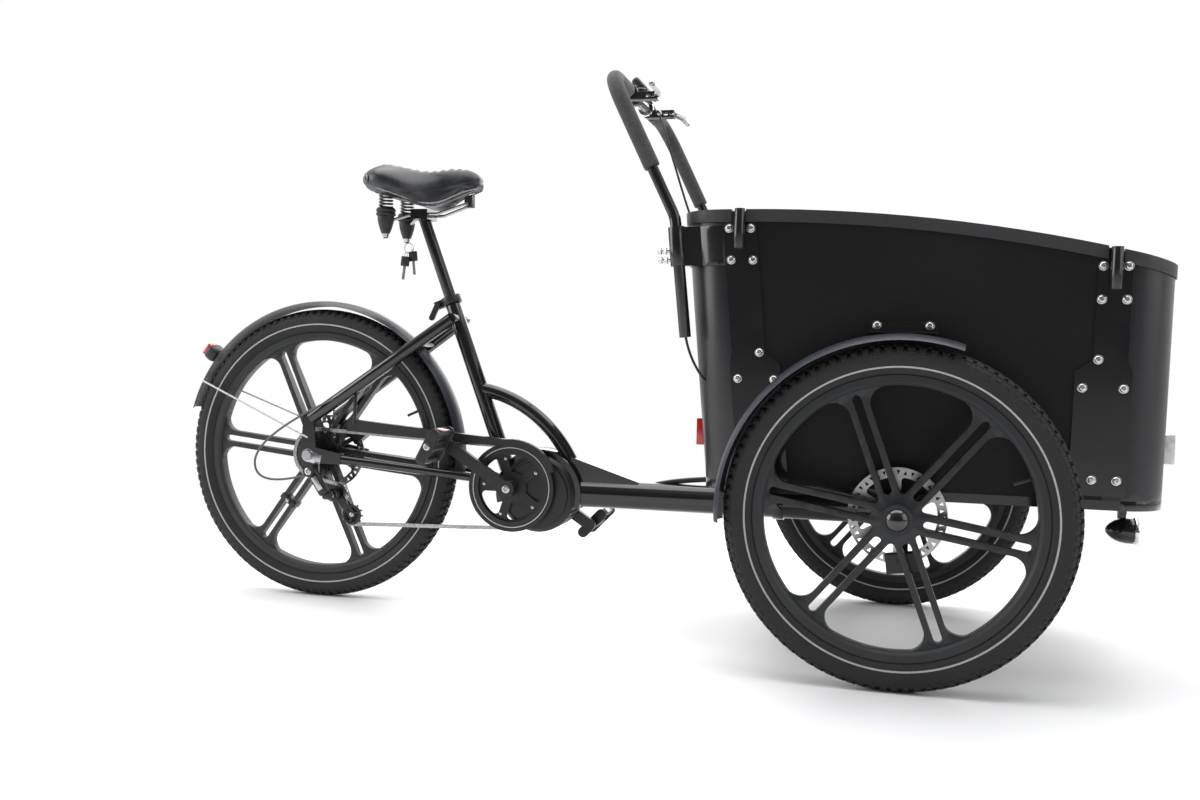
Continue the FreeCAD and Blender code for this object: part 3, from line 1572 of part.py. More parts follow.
def battery():
    x0 = box_rear_low_x + panel + battery_gap
    z0 = box_floor_z + floor_thickness
    z1 = z0 + battery_height
    half = battery_width / 2
    case = slab(x0, x0 + battery_length, -half, half, z0, z1)
    edges = [e for e in case.Edges if abs(e.tangentAt(e.FirstParameter).y) < 1 / 2]
    case = case.makeFillet(battery_handle_r * 2, edges)
    x = x0 + battery_length / 2
    span = battery_handle_span / 2
    high = z1 + battery_handle_rise
    points = [V(x, -span, z1), V(x, -span, high), V(x, span, high), V(x, span, z1)]
    handle = swept(path_wire(points, 2 * battery_handle_r), battery_handle_r)
    return union([case, handle])


def front_fenders():
    y = track / 2
    x = wheelbase
    z = front_wheel_r
    r = front_fender_r
    shell = fender(x, z, y, r, front_fender_width, front_fender_start, front_fender_sweep)
    crest = front_wheel_r + front_fender_r
    half = stay_length / 2
    y0 = box_half_width
    sheet = stay_sheet
    flange = slab(wheelbase - half, wheelbase + half, y0, y0 + sheet, crest, crest + stay_flange)
    tongue = slab(wheelbase - half, wheelbase + half, y0, y0 + stay_tongue, crest, crest + sheet)
    rail_low = box_floor_z - rail_height
    foot_x = wheelbase - front_fender_r + fender_drop - sheet
    foot_y = y + sheet - front_fender_width / 2
    foot = slab(foot_x, rear_seam_x + foot_length, y0, foot_y, rail_low, rail_low + sheet)
    stay = union([flange, tongue])
    foot = biggest(foot.cut(shell))
    return both_sides(group([shell, stay, foot]))


# Head lamp

def lamp_bracket():
    high = box_floor_z - rail_height
    half = lamp_bracket_width / 2
    sheet = lamp_bracket_sheet
    bolt_z = lamp_z + lamp_r + half
    y0 = sheet / 2 + clear_gap
    cheek = slab(lamp_x - half, lamp_x + half, y0, y0 + sheet, bolt_z, high)
    cheek = union([cheek, y_disc(lamp_x, bolt_z, half - clear_gap, y0, y0 + sheet)])
    pin = y_disc(lamp_x, bolt_z, lamp_bolt_r, -y0 - sheet, y0 + sheet)
    return union([cheek, mirrored(cheek), pin])


def head_lamp():
    half = lamp_length / 2
    nose = lamp_x + half
    tail = lamp_x - half
    join = tail + lamp_tail
    bow = (lamp_tail ** 2 + lamp_r ** 2) / (2 * lamp_r)
    sweep = math.asin(lamp_tail / bow) / 2
    middle = V(join - bow * math.sin(sweep), 0, lamp_z + lamp_r - bow + bow * math.cos(sweep))
    corners = [V(join, 0, lamp_z + lamp_r), V(nose - lamp_ring, 0, lamp_z + lamp_r)]
    corners += [V(nose - lamp_ring, 0, lamp_z + lamp_ring_r), V(nose, 0, lamp_z + lamp_ring_r)]
    corners += [V(nose, 0, lamp_z), V(tail, 0, lamp_z)]
    edges = [arc(corners[-1], middle, corners[0])] + [line(a, b) for a, b in zip(corners, corners[1:])]
    body = Part.Face(Part.Wire(edges)).revolve(V(tail, 0, lamp_z), V(1, 0, 0), 360)
    well = rod(V(nose - lamp_glass, 0, lamp_z), V(nose + overrun, 0, lamp_z), lamp_r)
    bolt_z = lamp_z + lamp_r + lamp_bracket_width / 2
    ear_half = lamp_bracket_sheet / 2
    wide = lamp_bracket_width / 2
    ear = slab(lamp_x - wide, lamp_x + wide, -ear_half, ear_half, lamp_z, bolt_z + lamp_bolt_r * 2)
    hole = y_disc(lamp_x, bolt_z, lamp_bolt_r + running_gap, -overrun, overrun)
    whole = union([body, ear]).cut([well, hole])
    glass = rod(V(nose - lamp_glass, 0, lamp_z), V(nose, 0, lamp_z), lamp_r)
    return group([whole, glass])


# Handlebar

def bar_path():
    y = bar_half_width
    half = [V(p[0], y, p[1]) for p in (leg_low, leg_bend, bar_top)]
    other = [V(p.x, -p.y, p.z) for p in reversed(half)]
    return path_wire(half + other, bar_corner_r)


def bar_core():
    return swept(bar_path(), bar_r)


def handlebar():
    return bar_core().cut(swept(bar_path(), bar_r - bar_wall))


def foam_grips():
    t = (foam_foot_z - leg_bend[1]) / (bar_top[1] - leg_bend[1])
    x = leg_bend[0] + (bar_top[0] - leg_bend[0]) * t
    top_x, top_z = bar_top
    y = bar_half_width
    points = [V(x, y, foam_foot_z), V(top_x, y, top_z), V(top_x, foam_inner_y, top_z)]
    grip = swept(path_wire(points, bar_corner_r), foam_r)
    return both_sides(grip.cut(bar_core()))


def lever_pivot():
    return V(bar_top[0] + perch_reach, perch_y, bar_top[1] - perch_drop)


def perch():
    x, z = bar_top
    half = perch_width / 2
    pivot = lever_pivot()
    ring = y_disc(x, z, perch_r, perch_y - half, perch_y + half)
    y0 = perch_y - half
    y1 = perch_y + half
    low = pivot.z - perch_height / 2
    high = pivot.z + perch_height / 2
    arm = slab(x, pivot.x + lever_head_r, y0, y1, low, high)
    gap = lever_blade_thickness / 2 + clear_gap
    throat_x = pivot.x - lever_head_r * 2
    far = pivot.x + overrun
    throat = slab(throat_x, far, y0 - overrun, y1 + overrun, pivot.z - gap, pivot.z + gap)
    pin = z_disc(pivot.x, pivot.y, lever_pivot_r, low, high)
    bore = y_disc(x, z, bar_r, y0 - overrun, y1 + overrun)
    return union([union([ring, arm]).cut([bore, throat]), pin])


def brake_lever():
    pivot = lever_pivot()
    half = lever_blade_thickness / 2
    low = pivot.z - half
    head = z_disc(pivot.x, pivot.y, lever_head_r, low, low + lever_blade_thickness)
    near = V(pivot.x + lever_offset / 2, pivot.y, low)
    points = [(0, 0), (lever_offset, lever_blade / 2), (lever_offset, lever_blade)]
    wide = lever_blade_width / 2
    outline = [V(near.x + x - wide, near.y + y, low) for x, y in points]
    outline += [V(near.x + x + wide, near.y + y, low) for x, y in reversed(points)]
    blade = Part.Face(Part.makePolygon(outline + outline[:1])).extrude(V(0, 0, lever_blade_thickness))
    hole = z_disc(pivot.x, pivot.y, lever_pivot_r + running_gap, low - overrun, low + overrun)
    return union([head, blade]).cut(hole)


def bar_controls():
    x, z = bar_top
    half = shifter_width / 2
    shifter = y_ring(x, z, shifter_r, bar_r, shifter_y - half, shifter_y + half)
    ring = y_ring(x, z, perch_r, bar_r, bell_y - bell_stem_r, bell_y + bell_stem_r)
    top = z + perch_r
    stem = z_disc(x, bell_y, bell_stem_r, z + bar_r, top)
    dome = Part.makeSphere(bell_r, V(x, bell_y, top), UPWARD, 0, 90, 360)
    bell = union([ring, stem.cut(y_disc(x, z, bar_r, bell_y - overrun, bell_y + overrun)), dome])
    deep = display_depth / 2
    wide = display_width / 2
    clamp = y_disc(x, z, perch_r, -shifter_width / 2, shifter_width / 2)
    screen = slab(x - deep, x + deep, -wide, wide, z + bar_r, z + display_lift + display_height)
    bore = y_disc(x, z, bar_r, -overrun, overrun)
    display = union([clamp, screen]).cut(bore)
    return group([shifter, bell, display, both_sides(perch())])


# Saddle

def saddle_section(share, wide, top_drop, low_drop):
    x = saddle_rear_x + (saddle_nose_x - saddle_rear_x) * share
    half = saddle_half_width * wide
    top = saddle_top_z - saddle_depth * top_drop
    low = saddle_top_z - saddle_depth * low_drop
    high = top - low
    channel = saddle_channel * wide
    inner = saddle_channel_half_share
    side = [(0, top - channel), (inner, top - channel / 4), (inner * 3, top)]
    side += [(saddle_shoulder_share, top - high * inner * 5 / 4), (1, top - high / 2)]
    side += [(saddle_tuck_share, low), (saddle_tuck_share / 2, low + high * inner)]
    points = [V(x, half * a, z) for a, z in side]
    points.append(V(x, 0, low + high * inner))
    points += [V(x, -p.y, p.z) for p in reversed(points[1:-1])]
    curve = Part.BSplineCurve()
    curve.interpolate(points, PeriodicFlag=True)
    return Part.Wire(curve.toShape())


def saddle_bases(cushion):
    half = spring_plate_half
    low = spring_high_z
    reach = saddle_half_width
    wide = spring_y + half
    rear = slab(spring_x - half, spring_x + half, -wide, wide, low, low + reach)
    side = rail_nose_y - rail_wire_r - side_gap
    under = rail_nose_z - 2 * rail_wire_r
    nose = slab(rail_nose_x - half / 2, rail_nose_x + half / 2, -side, side, under, rail_nose_z + reach)
    nose = nose.cut(y_disc(rail_nose_x, rail_nose_z, rail_wire_r + running_gap, -overrun, overrun))
    pieces = []
    for block in (rear, nose):
        pieces.append(min(block.cut(cushion).Solids, key=lambda solid: solid.CenterOfMass.z))
    return pieces


def rail_wire():
    y = rail_wire_y
    seat = seat_point(seat_post_top_z)
    half = saddle_clamp_length
    points = [V(rail_nose_x, rail_nose_y, rail_nose_z), V(seat.x + half, y, rail_wire_z)]
    points.append(V(seat.x - half / 2, y, rail_wire_z))
    points.append(V(spring_x, spring_y, spring_low_z - spring_plate - 2 * rail_wire_r))
    return swept(path_wire(points, rail_bend_r), rail_wire_r)


def saddle_frame():
    dish = z_disc(spring_x, spring_y, spring_r + spring_wire_r, spring_low_z - spring_plate, spring_low_z)
    top = spring_low_z - spring_plate - 2 * rail_wire_r
    tip = top - cone_height
    cone = Part.makeCone(cone_tip_r, cone_r, cone_height, V(spring_x, spring_y, tip), UPWARD)
    neck = z_disc(spring_x, spring_y, rail_wire_r * 2, top, spring_low_z - spring_plate)
    foot = union([dish, neck, cone])
    wire = biggest(rail_wire().cut(foot))
    end = rail_nose_y + rail_wire_r
    pin = y_disc(rail_nose_x, rail_nose_z, rail_wire_r, -end, end)
    return group([union([wire, mirrored(wire), pin]), both_sides(foot)])


def seat_post():
    low = seat_point(seat_post_low_z)
    top = seat_point(seat_post_top_z)
    post = rod(low, top, seat_post_r).cut(rod(low - (top - low), top, seat_post_r - seat_post_wall))
    half = saddle_clamp_length / 2
    wide = rail_wire_y + rail_wire_r * 2
    z0 = rail_wire_z - saddle_clamp_height / 2
    block = slab(top.x - half, top.x + half, -wide, wide, z0, z0 + saddle_clamp_height)
    wires = [rail_wire(), mirrored(rail_wire())]
    solid_post = rod(low, top, seat_post_r)
    return group([post, block.cut(wires + [solid_post])])


def biarc(p, t, q, u):
    across = q - p
    both = t + u
    bend = 2 * (1 - t.dot(u))
    lean = across.dot(both)
    reach = (math.sqrt(lean ** 2 + bend * across.dot(across)) - lean) / bend
    first = p + t * reach
    second = q - u * reach
    meet = (first + second) / 2
    edges = []
    for a, corner, b in ((p, first, meet), (meet, second, q)):
        middle = (a + b) / 2
        half = (b - a).Length / 2
        turn = math.acos(half / reach) / 2
        edges.append(arc(a, middle + (corner - middle).normalize() * (half * math.tan(turn)), b))
    return edges


def spring_coil(y):
    low = spring_low_z + spring_wire_r + clear_gap
    rise = spring_high_z - spring_wire_r - clear_gap - low
    turns = 2 * math.pi * spring_turns

    def spot(a):
        return V(spring_x + spring_r * math.cos(a), y + spring_r * math.sin(a), low + rise * a / turns)

    def way(a):
        return V(-spring_r * math.sin(a), spring_r * math.cos(a), rise / turns).normalize()

    marks = [math.pi / 2 * k for k in range(4 * spring_turns + 1)]
    edges = []
    for a, b in zip(marks, marks[1:]):
        edges += biarc(spot(a), way(a), spot(b), way(b))
    points = [edge.valueAt(edge.FirstParameter) for edge in edges]
    least = min((p - q).Length for k, p in enumerate(points) for q in points[k + 4:])
    print("spring gap", round(least - 2 * spring_wire_r, 2))
    return swept(Part.Wire(edges), spring_wire_r)


def saddle_springs():
    return group([spring_coil(spring_y), spring_coil(-spring_y)])


def saddle_cushion():
    rows = zip(saddle_station_shares, saddle_width_shares, saddle_top_shares, saddle_low_shares)
    return Part.makeLoft([saddle_section(*row) for row in rows], True, False)


def saddle():
    cushion = saddle_cushion()
    return group([cushion] + saddle_bases(cushion))


# Brakes

def front_calipers():
    hub_in = track / 2 - front_hub_width / 2
    disc_y = hub_in - disc_thickness / 2
    arm_y = box_half_width - caliper_bracket
    body = caliper(wheelbase, front_wheel_r, disc_y, front_caliper_angle, arm_y)
    block_low = box_floor_z - rail_height - axle_block_drop
    spot = polar(wheelbase, front_wheel_r, disc_r - caliper_reach, front_caliper_angle, 0)
    half = caliper_bracket * 2
    low = spot.z - caliper_height
    arm = slab(spot.x - half, spot.x + half, arm_y - caliper_bracket, arm_y, low, block_low)
    return both_sides(union([body, arm]))


def rear_caliper():
    disc_y = rear_hub_left + disc_thickness / 2
    inner = rear_hub_span / 2
    body = caliper(0, rear_wheel_r, disc_y, rear_caliper_angle, inner - caliper_bracket / 2)
    low = V(0, 0, rear_wheel_r + dropout_half * 2)
    spot = polar(0, rear_wheel_r, disc_r, rear_caliper_angle, 0)
    arm = obround(low, spot, caliper_bracket * 2, inner - caliper_bracket, inner)
    return union([body, arm])


# Cords

def cord(route, bend, r):
    return swept(path_wire([V(x, y, z) for x, y, z in route], bend), r)


def control_cables():
    stops = [box_rear_panel(), both_sides(perch())]
    bar = cord(bar_cable_route, cable_bend, cable_r).cut(stops)
    leg = cord(leg_cable_route, cable_bend, cable_r).cut(stops)
    return group([biggest(bar), biggest(leg)])


def shift_cable():
    whole = cord(shift_cable_route, shift_cable_bend, cable_r)
    return biggest(whole.cut([derailleur_body(), seatstays()]))


def conduit(frame):
    path = path_wire([V(x, y, z) for x, y, z in conduit_route], conduit_bend)
    count = round(path.Length / conduit_pitch)
    pitch = path.Length / count
    land = pitch * conduit_land_share
    low_r = conduit_r - conduit_groove
    slope = pitch * (1 - 2 * conduit_land_share) / 2
    marks = []
    for k in range(count):
        s = k * pitch
        marks += [(s, low_r), (s + land, low_r)]
        marks += [(s + land + slope, conduit_r), (s + 2 * land + slope, conduit_r)]
    marks.append((path.Length, low_r))
    rings = []
    for s, r in marks:
        rest = s
        for edge in path.Edges:
            if rest <= edge.Length or edge.isSame(path.Edges[-1]):
                break
            rest -= edge.Length
        t = edge.getParameterByLength(min(rest, edge.Length))
        ahead = edge.tangentAt(t)
        side = V(ACROSS)
        up = ahead.cross(side)
        spot = edge.valueAt(t)
        frame_at = FreeCAD.Matrix(side.x, up.x, ahead.x, spot.x, side.y, up.y, ahead.y, spot.y,
                                  side.z, up.z, ahead.z, spot.z, 0, 0, 0, 1)
        ring = Part.Wire(Part.makeCircle(r))
        ring.Placement = FreeCAD.Placement(frame_at)
        rings.append(ring)
    hose = Part.makeLoft(rings, True, True)
    return biggest(hose.cut([swept(path, conduit_bore_r), frame]))


# Writing out

def save(name, shape):
    copy = shape.copy()
    copy.translate(V(-origin_x, 0, 0))
    copy.exportStep("parts/" + name + ".step")
    print(name, len(copy.Solids), copy.isValid(), round(copy.Volume / 1000, 1))


front_end = box_front_low_x + front_lean_x + reflector_depth
rear_end = rear_fender_r * math.cos(math.radians(rear_fender_start + rear_fender_sweep))
origin_x = (front_end + rear_end) / 2


def front_wheel(side, name):
    y = track / 2
    half = front_hub_width / 2
    shapes = {"front_tyre_": tyre(wheelbase, front_wheel_r, y, front_wheel_r, front_rim_r)}
    x = wheelbase
    z = front_wheel_r
    inner = y - half
    outer = y + half
    cast = casting(x, z, y, front_rim_r, front_spoke_angle, inner, outer, bearing_r)
    stem = valve(x, z, y, front_rim_r, front_spoke_angle + 180 / spoke_count)
    shapes["front_wheel_"] = group([cast, stem.cut(cast)])
    shapes["front_disc_"] = brake_disc(x, z, inner - disc_thickness)
    bore = front_axle_r + running_gap
    starts = (inner, outer - bearing_width)
    rings = [y_ring(x, z, bearing_r, bore, a, a + bearing_width) for a in starts]
    shapes["front_hub_"] = group(rings + [hub_cap(x, z, outer)])
    for key, shape in shapes.items():
        save(key + name, shape if side > 0 else mirrored(shape))


frame = main_tube()
save("main_tube", group([frame, head_bearings()]))
save("seat_tube", seat_tube())
save("arch_tube", arch_tube(frame))
save("chainstays", chainstays())
save("seatstays", seatstays())
save("seat_clamp", seat_clamp())
save("seat_lever", seat_lever())
save("motor", motor())
save("chain", chain())
save("chainring", chainring())
save("crank_arms", crank_arms())
save("pedal_right", pedal(-1))
save("pedal_left", pedal(1))
save("cassette", cassette())
save("rear_axle", rear_axle())
save("derailleur_body", derailleur_body())
save("derailleur_cage", derailleur_cage())
save("guide_pulley", pulley(0))
save("tension_pulley", pulley(1))
save("chain_guard", chain_guard())
save("rear_fender", rear_fender())
save("rear_light", rear_light())
save("rear_tyre", tyre(0, rear_wheel_r, 0, rear_wheel_r, rear_rim_r))
rear_bore_r = rear_sleeve_r + running_gap
hub_ends = (-rear_hub_right, rear_hub_left)
rear_cast = casting(0, rear_wheel_r, 0, rear_rim_r, rear_spoke_angle, *hub_ends, rear_bore_r)
rear_stem = valve(0, rear_wheel_r, 0, rear_rim_r, rear_spoke_angle + 180 / spoke_count)
save("rear_wheel", group([rear_cast, rear_stem.cut(rear_cast)]))
save("rear_disc", brake_disc(0, rear_wheel_r, rear_hub_left))
front_wheel(-1, "right")
front_wheel(1, "left")
save("box_rear_panel", box_rear_panel())
save("box_front_panel", box_front_panel())
save("box_sides", box_sides())
save("rim_trim", rim_trim())
save("box_floor", box_floor())
save("corner_plates", corner_plates())
save("panel_bolts", panel_bolts())
save("bar_clamps", bar_clamps())
save("box_reflectors", box_reflectors())
save("carriage", group([carriage_rails(), carriage_bows(), axle_blocks(), kingpin(), lamp_bracket()]))
save("battery", battery())
save("front_fenders", front_fenders())
save("head_lamp", head_lamp())
save("handlebar", handlebar())
save("foam_grips", foam_grips())
save("bar_controls", bar_controls())
save("brake_lever_right", mirrored(brake_lever()))
save("brake_lever_left", brake_lever())
save("saddle", saddle())
save("saddle_frame", saddle_frame())
save("saddle_springs", saddle_springs())
save("seat_post", seat_post())
save("front_calipers", front_calipers())
save("rear_caliper", rear_caliper())
save("control_cables", control_cables())
save("shift_cable", shift_cable())
save("wiring_conduit", conduit(frame))
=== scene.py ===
import math

import bmesh
import bpy
from mathutils import Matrix, Vector
from mathutils.bvhtree import BVHTree


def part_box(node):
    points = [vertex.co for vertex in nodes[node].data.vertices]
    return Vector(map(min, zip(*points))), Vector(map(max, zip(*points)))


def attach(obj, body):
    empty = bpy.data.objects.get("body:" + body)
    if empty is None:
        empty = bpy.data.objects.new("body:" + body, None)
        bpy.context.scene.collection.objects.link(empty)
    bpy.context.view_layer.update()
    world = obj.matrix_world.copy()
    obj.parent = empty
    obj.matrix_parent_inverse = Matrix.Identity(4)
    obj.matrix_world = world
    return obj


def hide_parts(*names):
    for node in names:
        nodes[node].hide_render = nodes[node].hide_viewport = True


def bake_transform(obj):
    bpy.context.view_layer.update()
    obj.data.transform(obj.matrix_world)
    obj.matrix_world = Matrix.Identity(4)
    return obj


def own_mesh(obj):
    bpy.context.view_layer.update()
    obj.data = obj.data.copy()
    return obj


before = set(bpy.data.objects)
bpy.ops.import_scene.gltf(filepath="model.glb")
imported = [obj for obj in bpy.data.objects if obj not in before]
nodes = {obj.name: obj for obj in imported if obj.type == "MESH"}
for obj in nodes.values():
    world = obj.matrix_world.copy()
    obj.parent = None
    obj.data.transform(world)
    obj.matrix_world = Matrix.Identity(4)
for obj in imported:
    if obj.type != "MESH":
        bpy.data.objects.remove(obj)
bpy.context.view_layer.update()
scene = bpy.context.scene

# Cargo tricycle: the finishes, the soft pieces and the small fittings over the part's solids.
# Places are given in millimetres from the rear axle, as the part's source gives them.
# The frame's origin lies this far ahead of the axle.
ORIGIN_AHEAD = 713.3186
ACROSS = Vector((0, 1, 0))
FORWARD = Vector((1, 0, 0))
UPWARD = Vector((0, 0, 1))
IN_PLACE = Matrix.Identity(4)
WHOLE_TURN = 2 * math.pi
FRONT_HUB = (1295, 365, 303)
REAR_HUB = (0, 0, 332)
CRANK = (481, 0, 281)


def at(x, y, z):
    return Vector(((x - ORIGIN_AHEAD) / 1000, y / 1000, z / 1000))


def in_mm(spot):
    # The reverse of at.
    return spot.x * 1000 + ORIGIN_AHEAD, spot.y * 1000, spot.z * 1000


def mm(*sizes):
    return Vector(sizes) / 1000


def unit(value):
    # Kept between 0 and 1.
    return min(1, max(0, value))


# Finishes

def shader_node(tree, kind, values=None, **settings):
    # A node with its settings and the values of its inputs.
    made = tree.nodes.new("ShaderNode" + kind)
    for name, value in settings.items():
        setattr(made, name, value)
    for name, value in (values or {}).items():
        made.inputs[name].default_value = value
    return made


def node_of(tree, kind):
    return next(n for n in tree.nodes if n.bl_idname == "ShaderNode" + kind)


def finish(name, colour, rough, metal=0.0, grain=120.0, tint=0.2, spread=0.08, relief=0.05,
           depth=0.3, stretch=(1, 1, 1), coat=0.0, specular=0.5, sheen=0.0, patch=9.0):
    # Colour that varies over the grain, gloss that varies in larger patches, and a fine relief.
    made = bpy.data.materials.new(name)
    made.use_nodes = True
    tree = made.node_tree
    link = tree.links.new
    shader = tree.nodes["Principled BSDF"]
    place = shader_node(tree, "TexCoord")
    turn = shader_node(tree, "Mapping", {"Scale": stretch})
    fine = shader_node(tree, "TexNoise", {"Scale": grain, "Detail": 5})
    broad = shader_node(tree, "TexNoise", {"Scale": patch, "Detail": 6})
    ramp = shader_node(tree, "ValToRGB")
    dark, pale = ramp.color_ramp.elements
    dark.position = 0.3
    pale.position = 0.75
    dark.color = (*[c * (1 - tint) for c in colour], 1)
    pale.color = (*[min(1, c * (1 + tint)) for c in colour], 1)
    gloss = shader_node(tree, "MapRange", {
        "From Min": 0.3, "From Max": 0.7,
        "To Min": max(0.02, rough - spread), "To Max": min(1, rough + spread)})
    bump = shader_node(tree, "Bump", {"Strength": relief, "Distance": depth / 1000})
    link(place.outputs["Object"], turn.inputs["Vector"])
    link(turn.outputs["Vector"], fine.inputs["Vector"])
    link(fine.outputs["Fac"], ramp.inputs["Fac"])
    link(ramp.outputs["Color"], shader.inputs["Base Color"])
    link(turn.outputs["Vector"], broad.inputs["Vector"])
    link(broad.outputs["Fac"], gloss.inputs["Value"])
    link(gloss.outputs["Result"], shader.inputs["Roughness"])
    link(fine.outputs["Fac"], bump.inputs["Height"])
    link(bump.outputs["Normal"], shader.inputs["Normal"])
    for socket, value in (("Metallic", metal), ("Coat Weight", coat), ("Coat Roughness", 0.06),
                          ("Specular IOR Level", specular), ("Sheen Weight", sheen)):
        shader.inputs[socket].default_value = value
    return made


def cellular(made, scale, strength, depth):
    # Rounded cells pressed into the relief, as in a grained cover or in foam.
    tree = made.node_tree
    cells = shader_node(tree, "TexVoronoi", {"Scale": scale}, feature="SMOOTH_F1")
    bump = node_of(tree, "Bump")
    bump.inputs["Strength"].default_value = strength
    bump.inputs["Distance"].default_value = depth / 1000
    tree.links.new(node_of(tree, "TexCoord").outputs["Object"], cells.inputs["Vector"])
    tree.links.new(cells.outputs["Distance"], bump.inputs["Height"])
    return made


def clear_lens(name, colour):
    made = finish(name, colour, 0.12, grain=60, tint=0.25, spread=0.04, specular=0.6, coat=0.6)
    return cellular(made, 260, 0.35, 0.8)


gloss_black = finish("gloss_black_paint", (0.010, 0.010, 0.011), 0.16, coat=0.35, relief=0.03,
                     depth=0.15, grain=260)
satin_black = finish("satin_black_metal", (0.014, 0.014, 0.015), 0.38, relief=0.06, grain=400)
cast_charcoal = finish("charcoal_powder_coat", (0.016, 0.017, 0.0185), 0.46, relief=0.16,
                       depth=0.12, grain=900)
board_film = finish("film_faced_board", (0.0066, 0.0066, 0.007), 0.46, relief=0.04, grain=140,
                    specular=0.26, patch=5)
bent_laminate = finish("bent_board_laminate", (0.016, 0.0165, 0.018), 0.34, relief=0.04,
                       grain=200, patch=4)
edge_profile = finish("edge_profile", (0.030, 0.030, 0.032), 0.52, relief=0.08, grain=420)
tyre_rubber = finish("tyre_rubber", (0.026, 0.026, 0.026), 0.72, relief=0.22, depth=0.3,
                     grain=320, specular=0.3)
stripe_grey = finish("reflective_stripe", (0.42, 0.42, 0.41), 0.38, relief=0.1, grain=600)
fender_gloss = finish("fender_gloss", (0.026, 0.029, 0.038), 0.42, coat=0.05, relief=0.05,
                      grain=170, tint=0.3)
bright_steel = finish("bright_steel", (0.50, 0.50, 0.51), 0.26, metal=1, relief=0.06, grain=500)
wire_silver = finish("wire_silver", (0.55, 0.55, 0.54), 0.42, metal=0.3, grain=400)
disc_steel = finish("disc_steel", (0.48, 0.48, 0.48), 0.32, metal=1, relief=0.15, grain=380,
                    stretch=(1, 0.05, 1))
chain_steel = finish("chain_steel", (0.42, 0.41, 0.40), 0.30, metal=1, grain=300, tint=0.35)
cog_steel = finish("cog_steel", (0.07, 0.07, 0.072), 0.34, metal=0.8, grain=300, tint=0.3)
zinc = finish("zinc_bolt", (0.60, 0.60, 0.58), 0.24, metal=1, grain=420, tint=0.12)
motor_casting = finish("motor_casting", (0.013, 0.013, 0.014), 0.42, relief=0.16, grain=700)
black_plastic = finish("moulded_plastic", (0.015, 0.015, 0.016), 0.48, relief=0.12, grain=800)
dark_dome = finish("dark_dome", (0.008, 0.008, 0.009), 0.08, coat=0.8, relief=0.01, grain=80)
grip_foam = cellular(finish("grip_foam", (0.068, 0.068, 0.069), 0.85, specular=0.2, sheen=0.15),
                     1500, 0.35, 0.35)
saddle_cover = cellular(finish("saddle_cover", (0.020, 0.021, 0.025), 0.36, specular=0.5, patch=14),
                        700, 0.16, 0.25)
welt_cord = finish("welt_cord", (0.34, 0.34, 0.33), 0.5, grain=600)
spring_steel = finish("spring_steel", (0.09, 0.09, 0.09), 0.3, metal=0.9, grain=300)
bellows_rubber = finish("bellows_rubber", (0.017, 0.017, 0.018), 0.55, grain=300, relief=0.1)
red_lens = clear_lens("red_lens", (0.55, 0.012, 0.015))
white_lens = clear_lens("white_lens", (0.72, 0.73, 0.72))
amber_lens = clear_lens("amber_lens", (0.30, 0.12, 0.07))
cable_jacket = finish("cable_jacket", (0.011, 0.011, 0.012), 0.4, grain=500)
grey_jacket = finish("grey_cable_jacket", (0.10, 0.10, 0.10), 0.4, grain=500)
copper_tone = finish("copper_tone", (0.35, 0.16, 0.09), 0.36, metal=0.7, grain=300)
chrome_ring = finish("chrome_ring", (0.72, 0.72, 0.73), 0.09, metal=1, grain=90, tint=0.06,
                     relief=0.01)
screen_glass = finish("screen_glass", (0.006, 0.007, 0.008), 0.07, grain=60, relief=0.005)


# Building helpers

# Metres within which points are joined: on a node's loose triangles, and on a turned shape.
JOIN_NODE = 2e-6
JOIN_TURNED = 1e-5


def shaded(mesh, angle=38):
    for face in mesh.polygons:
        face.use_smooth = True
    mesh.set_sharp_from_angle(angle=math.radians(angle))


def piece(name, shape, finishes, body, replaces=(), angle=38):
    # An object made of a bmesh or a mesh, in its finishes and on its body.
    if isinstance(shape, bmesh.types.BMesh):
        mesh = bpy.data.meshes.new(name)
        shape.to_mesh(mesh)
        shape.free()
    else:
        mesh = shape
        mesh.name = name
    made = bpy.data.objects.new(name, mesh)
    scene.collection.objects.link(made)
    for one in finishes if isinstance(finishes, (list, tuple)) else [finishes]:
        mesh.materials.append(one)
    shaded(mesh, angle)
    if body:
        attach(made, body)
    if replaces:
        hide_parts(*replaces)
    return made


def sealed(bm):
    bmesh.ops.remove_doubles(bm, verts=bm.verts, dist=JOIN_TURNED)
    bmesh.ops.recalc_face_normals(bm, faces=bm.faces)
    return bm


def turned_profile(profile, steps=48, index=0, closed=False):
    # A profile of (along, radius) turned about the local Z axis.
    bm = bmesh.new()
    verts = [bm.verts.new((r / 1000, 0, along / 1000)) for along, r in profile]
    pairs = list(zip(verts, verts[1:]))
    if closed:
        pairs.append((verts[-1], verts[0]))
    edges = [bm.edges.new(pair) for pair in pairs]
    bmesh.ops.spin(bm, geom=verts + edges, cent=(0, 0, 0), axis=(0, 0, 1), angle=WHOLE_TURN,
                   steps=steps, use_merge=True, use_duplicate=False)
    for face in bm.faces:
        face.material_index = index
    return sealed(bm)


def facing(direction, spot):
    turn = Vector(direction).to_track_quat("Z", "Y").to_matrix().to_4x4()
    return Matrix.Translation(spot) @ turn


def place_in(bm, part, matrix=IN_PLACE, keep=False):
    # Adds a copy of part to bm with its place applied.
    mesh = bpy.data.meshes.new("part")
    part.to_mesh(mesh)
    mesh.transform(matrix)
    bm.from_mesh(mesh)
    bpy.data.meshes.remove(mesh)
    if not keep:
        part.free()


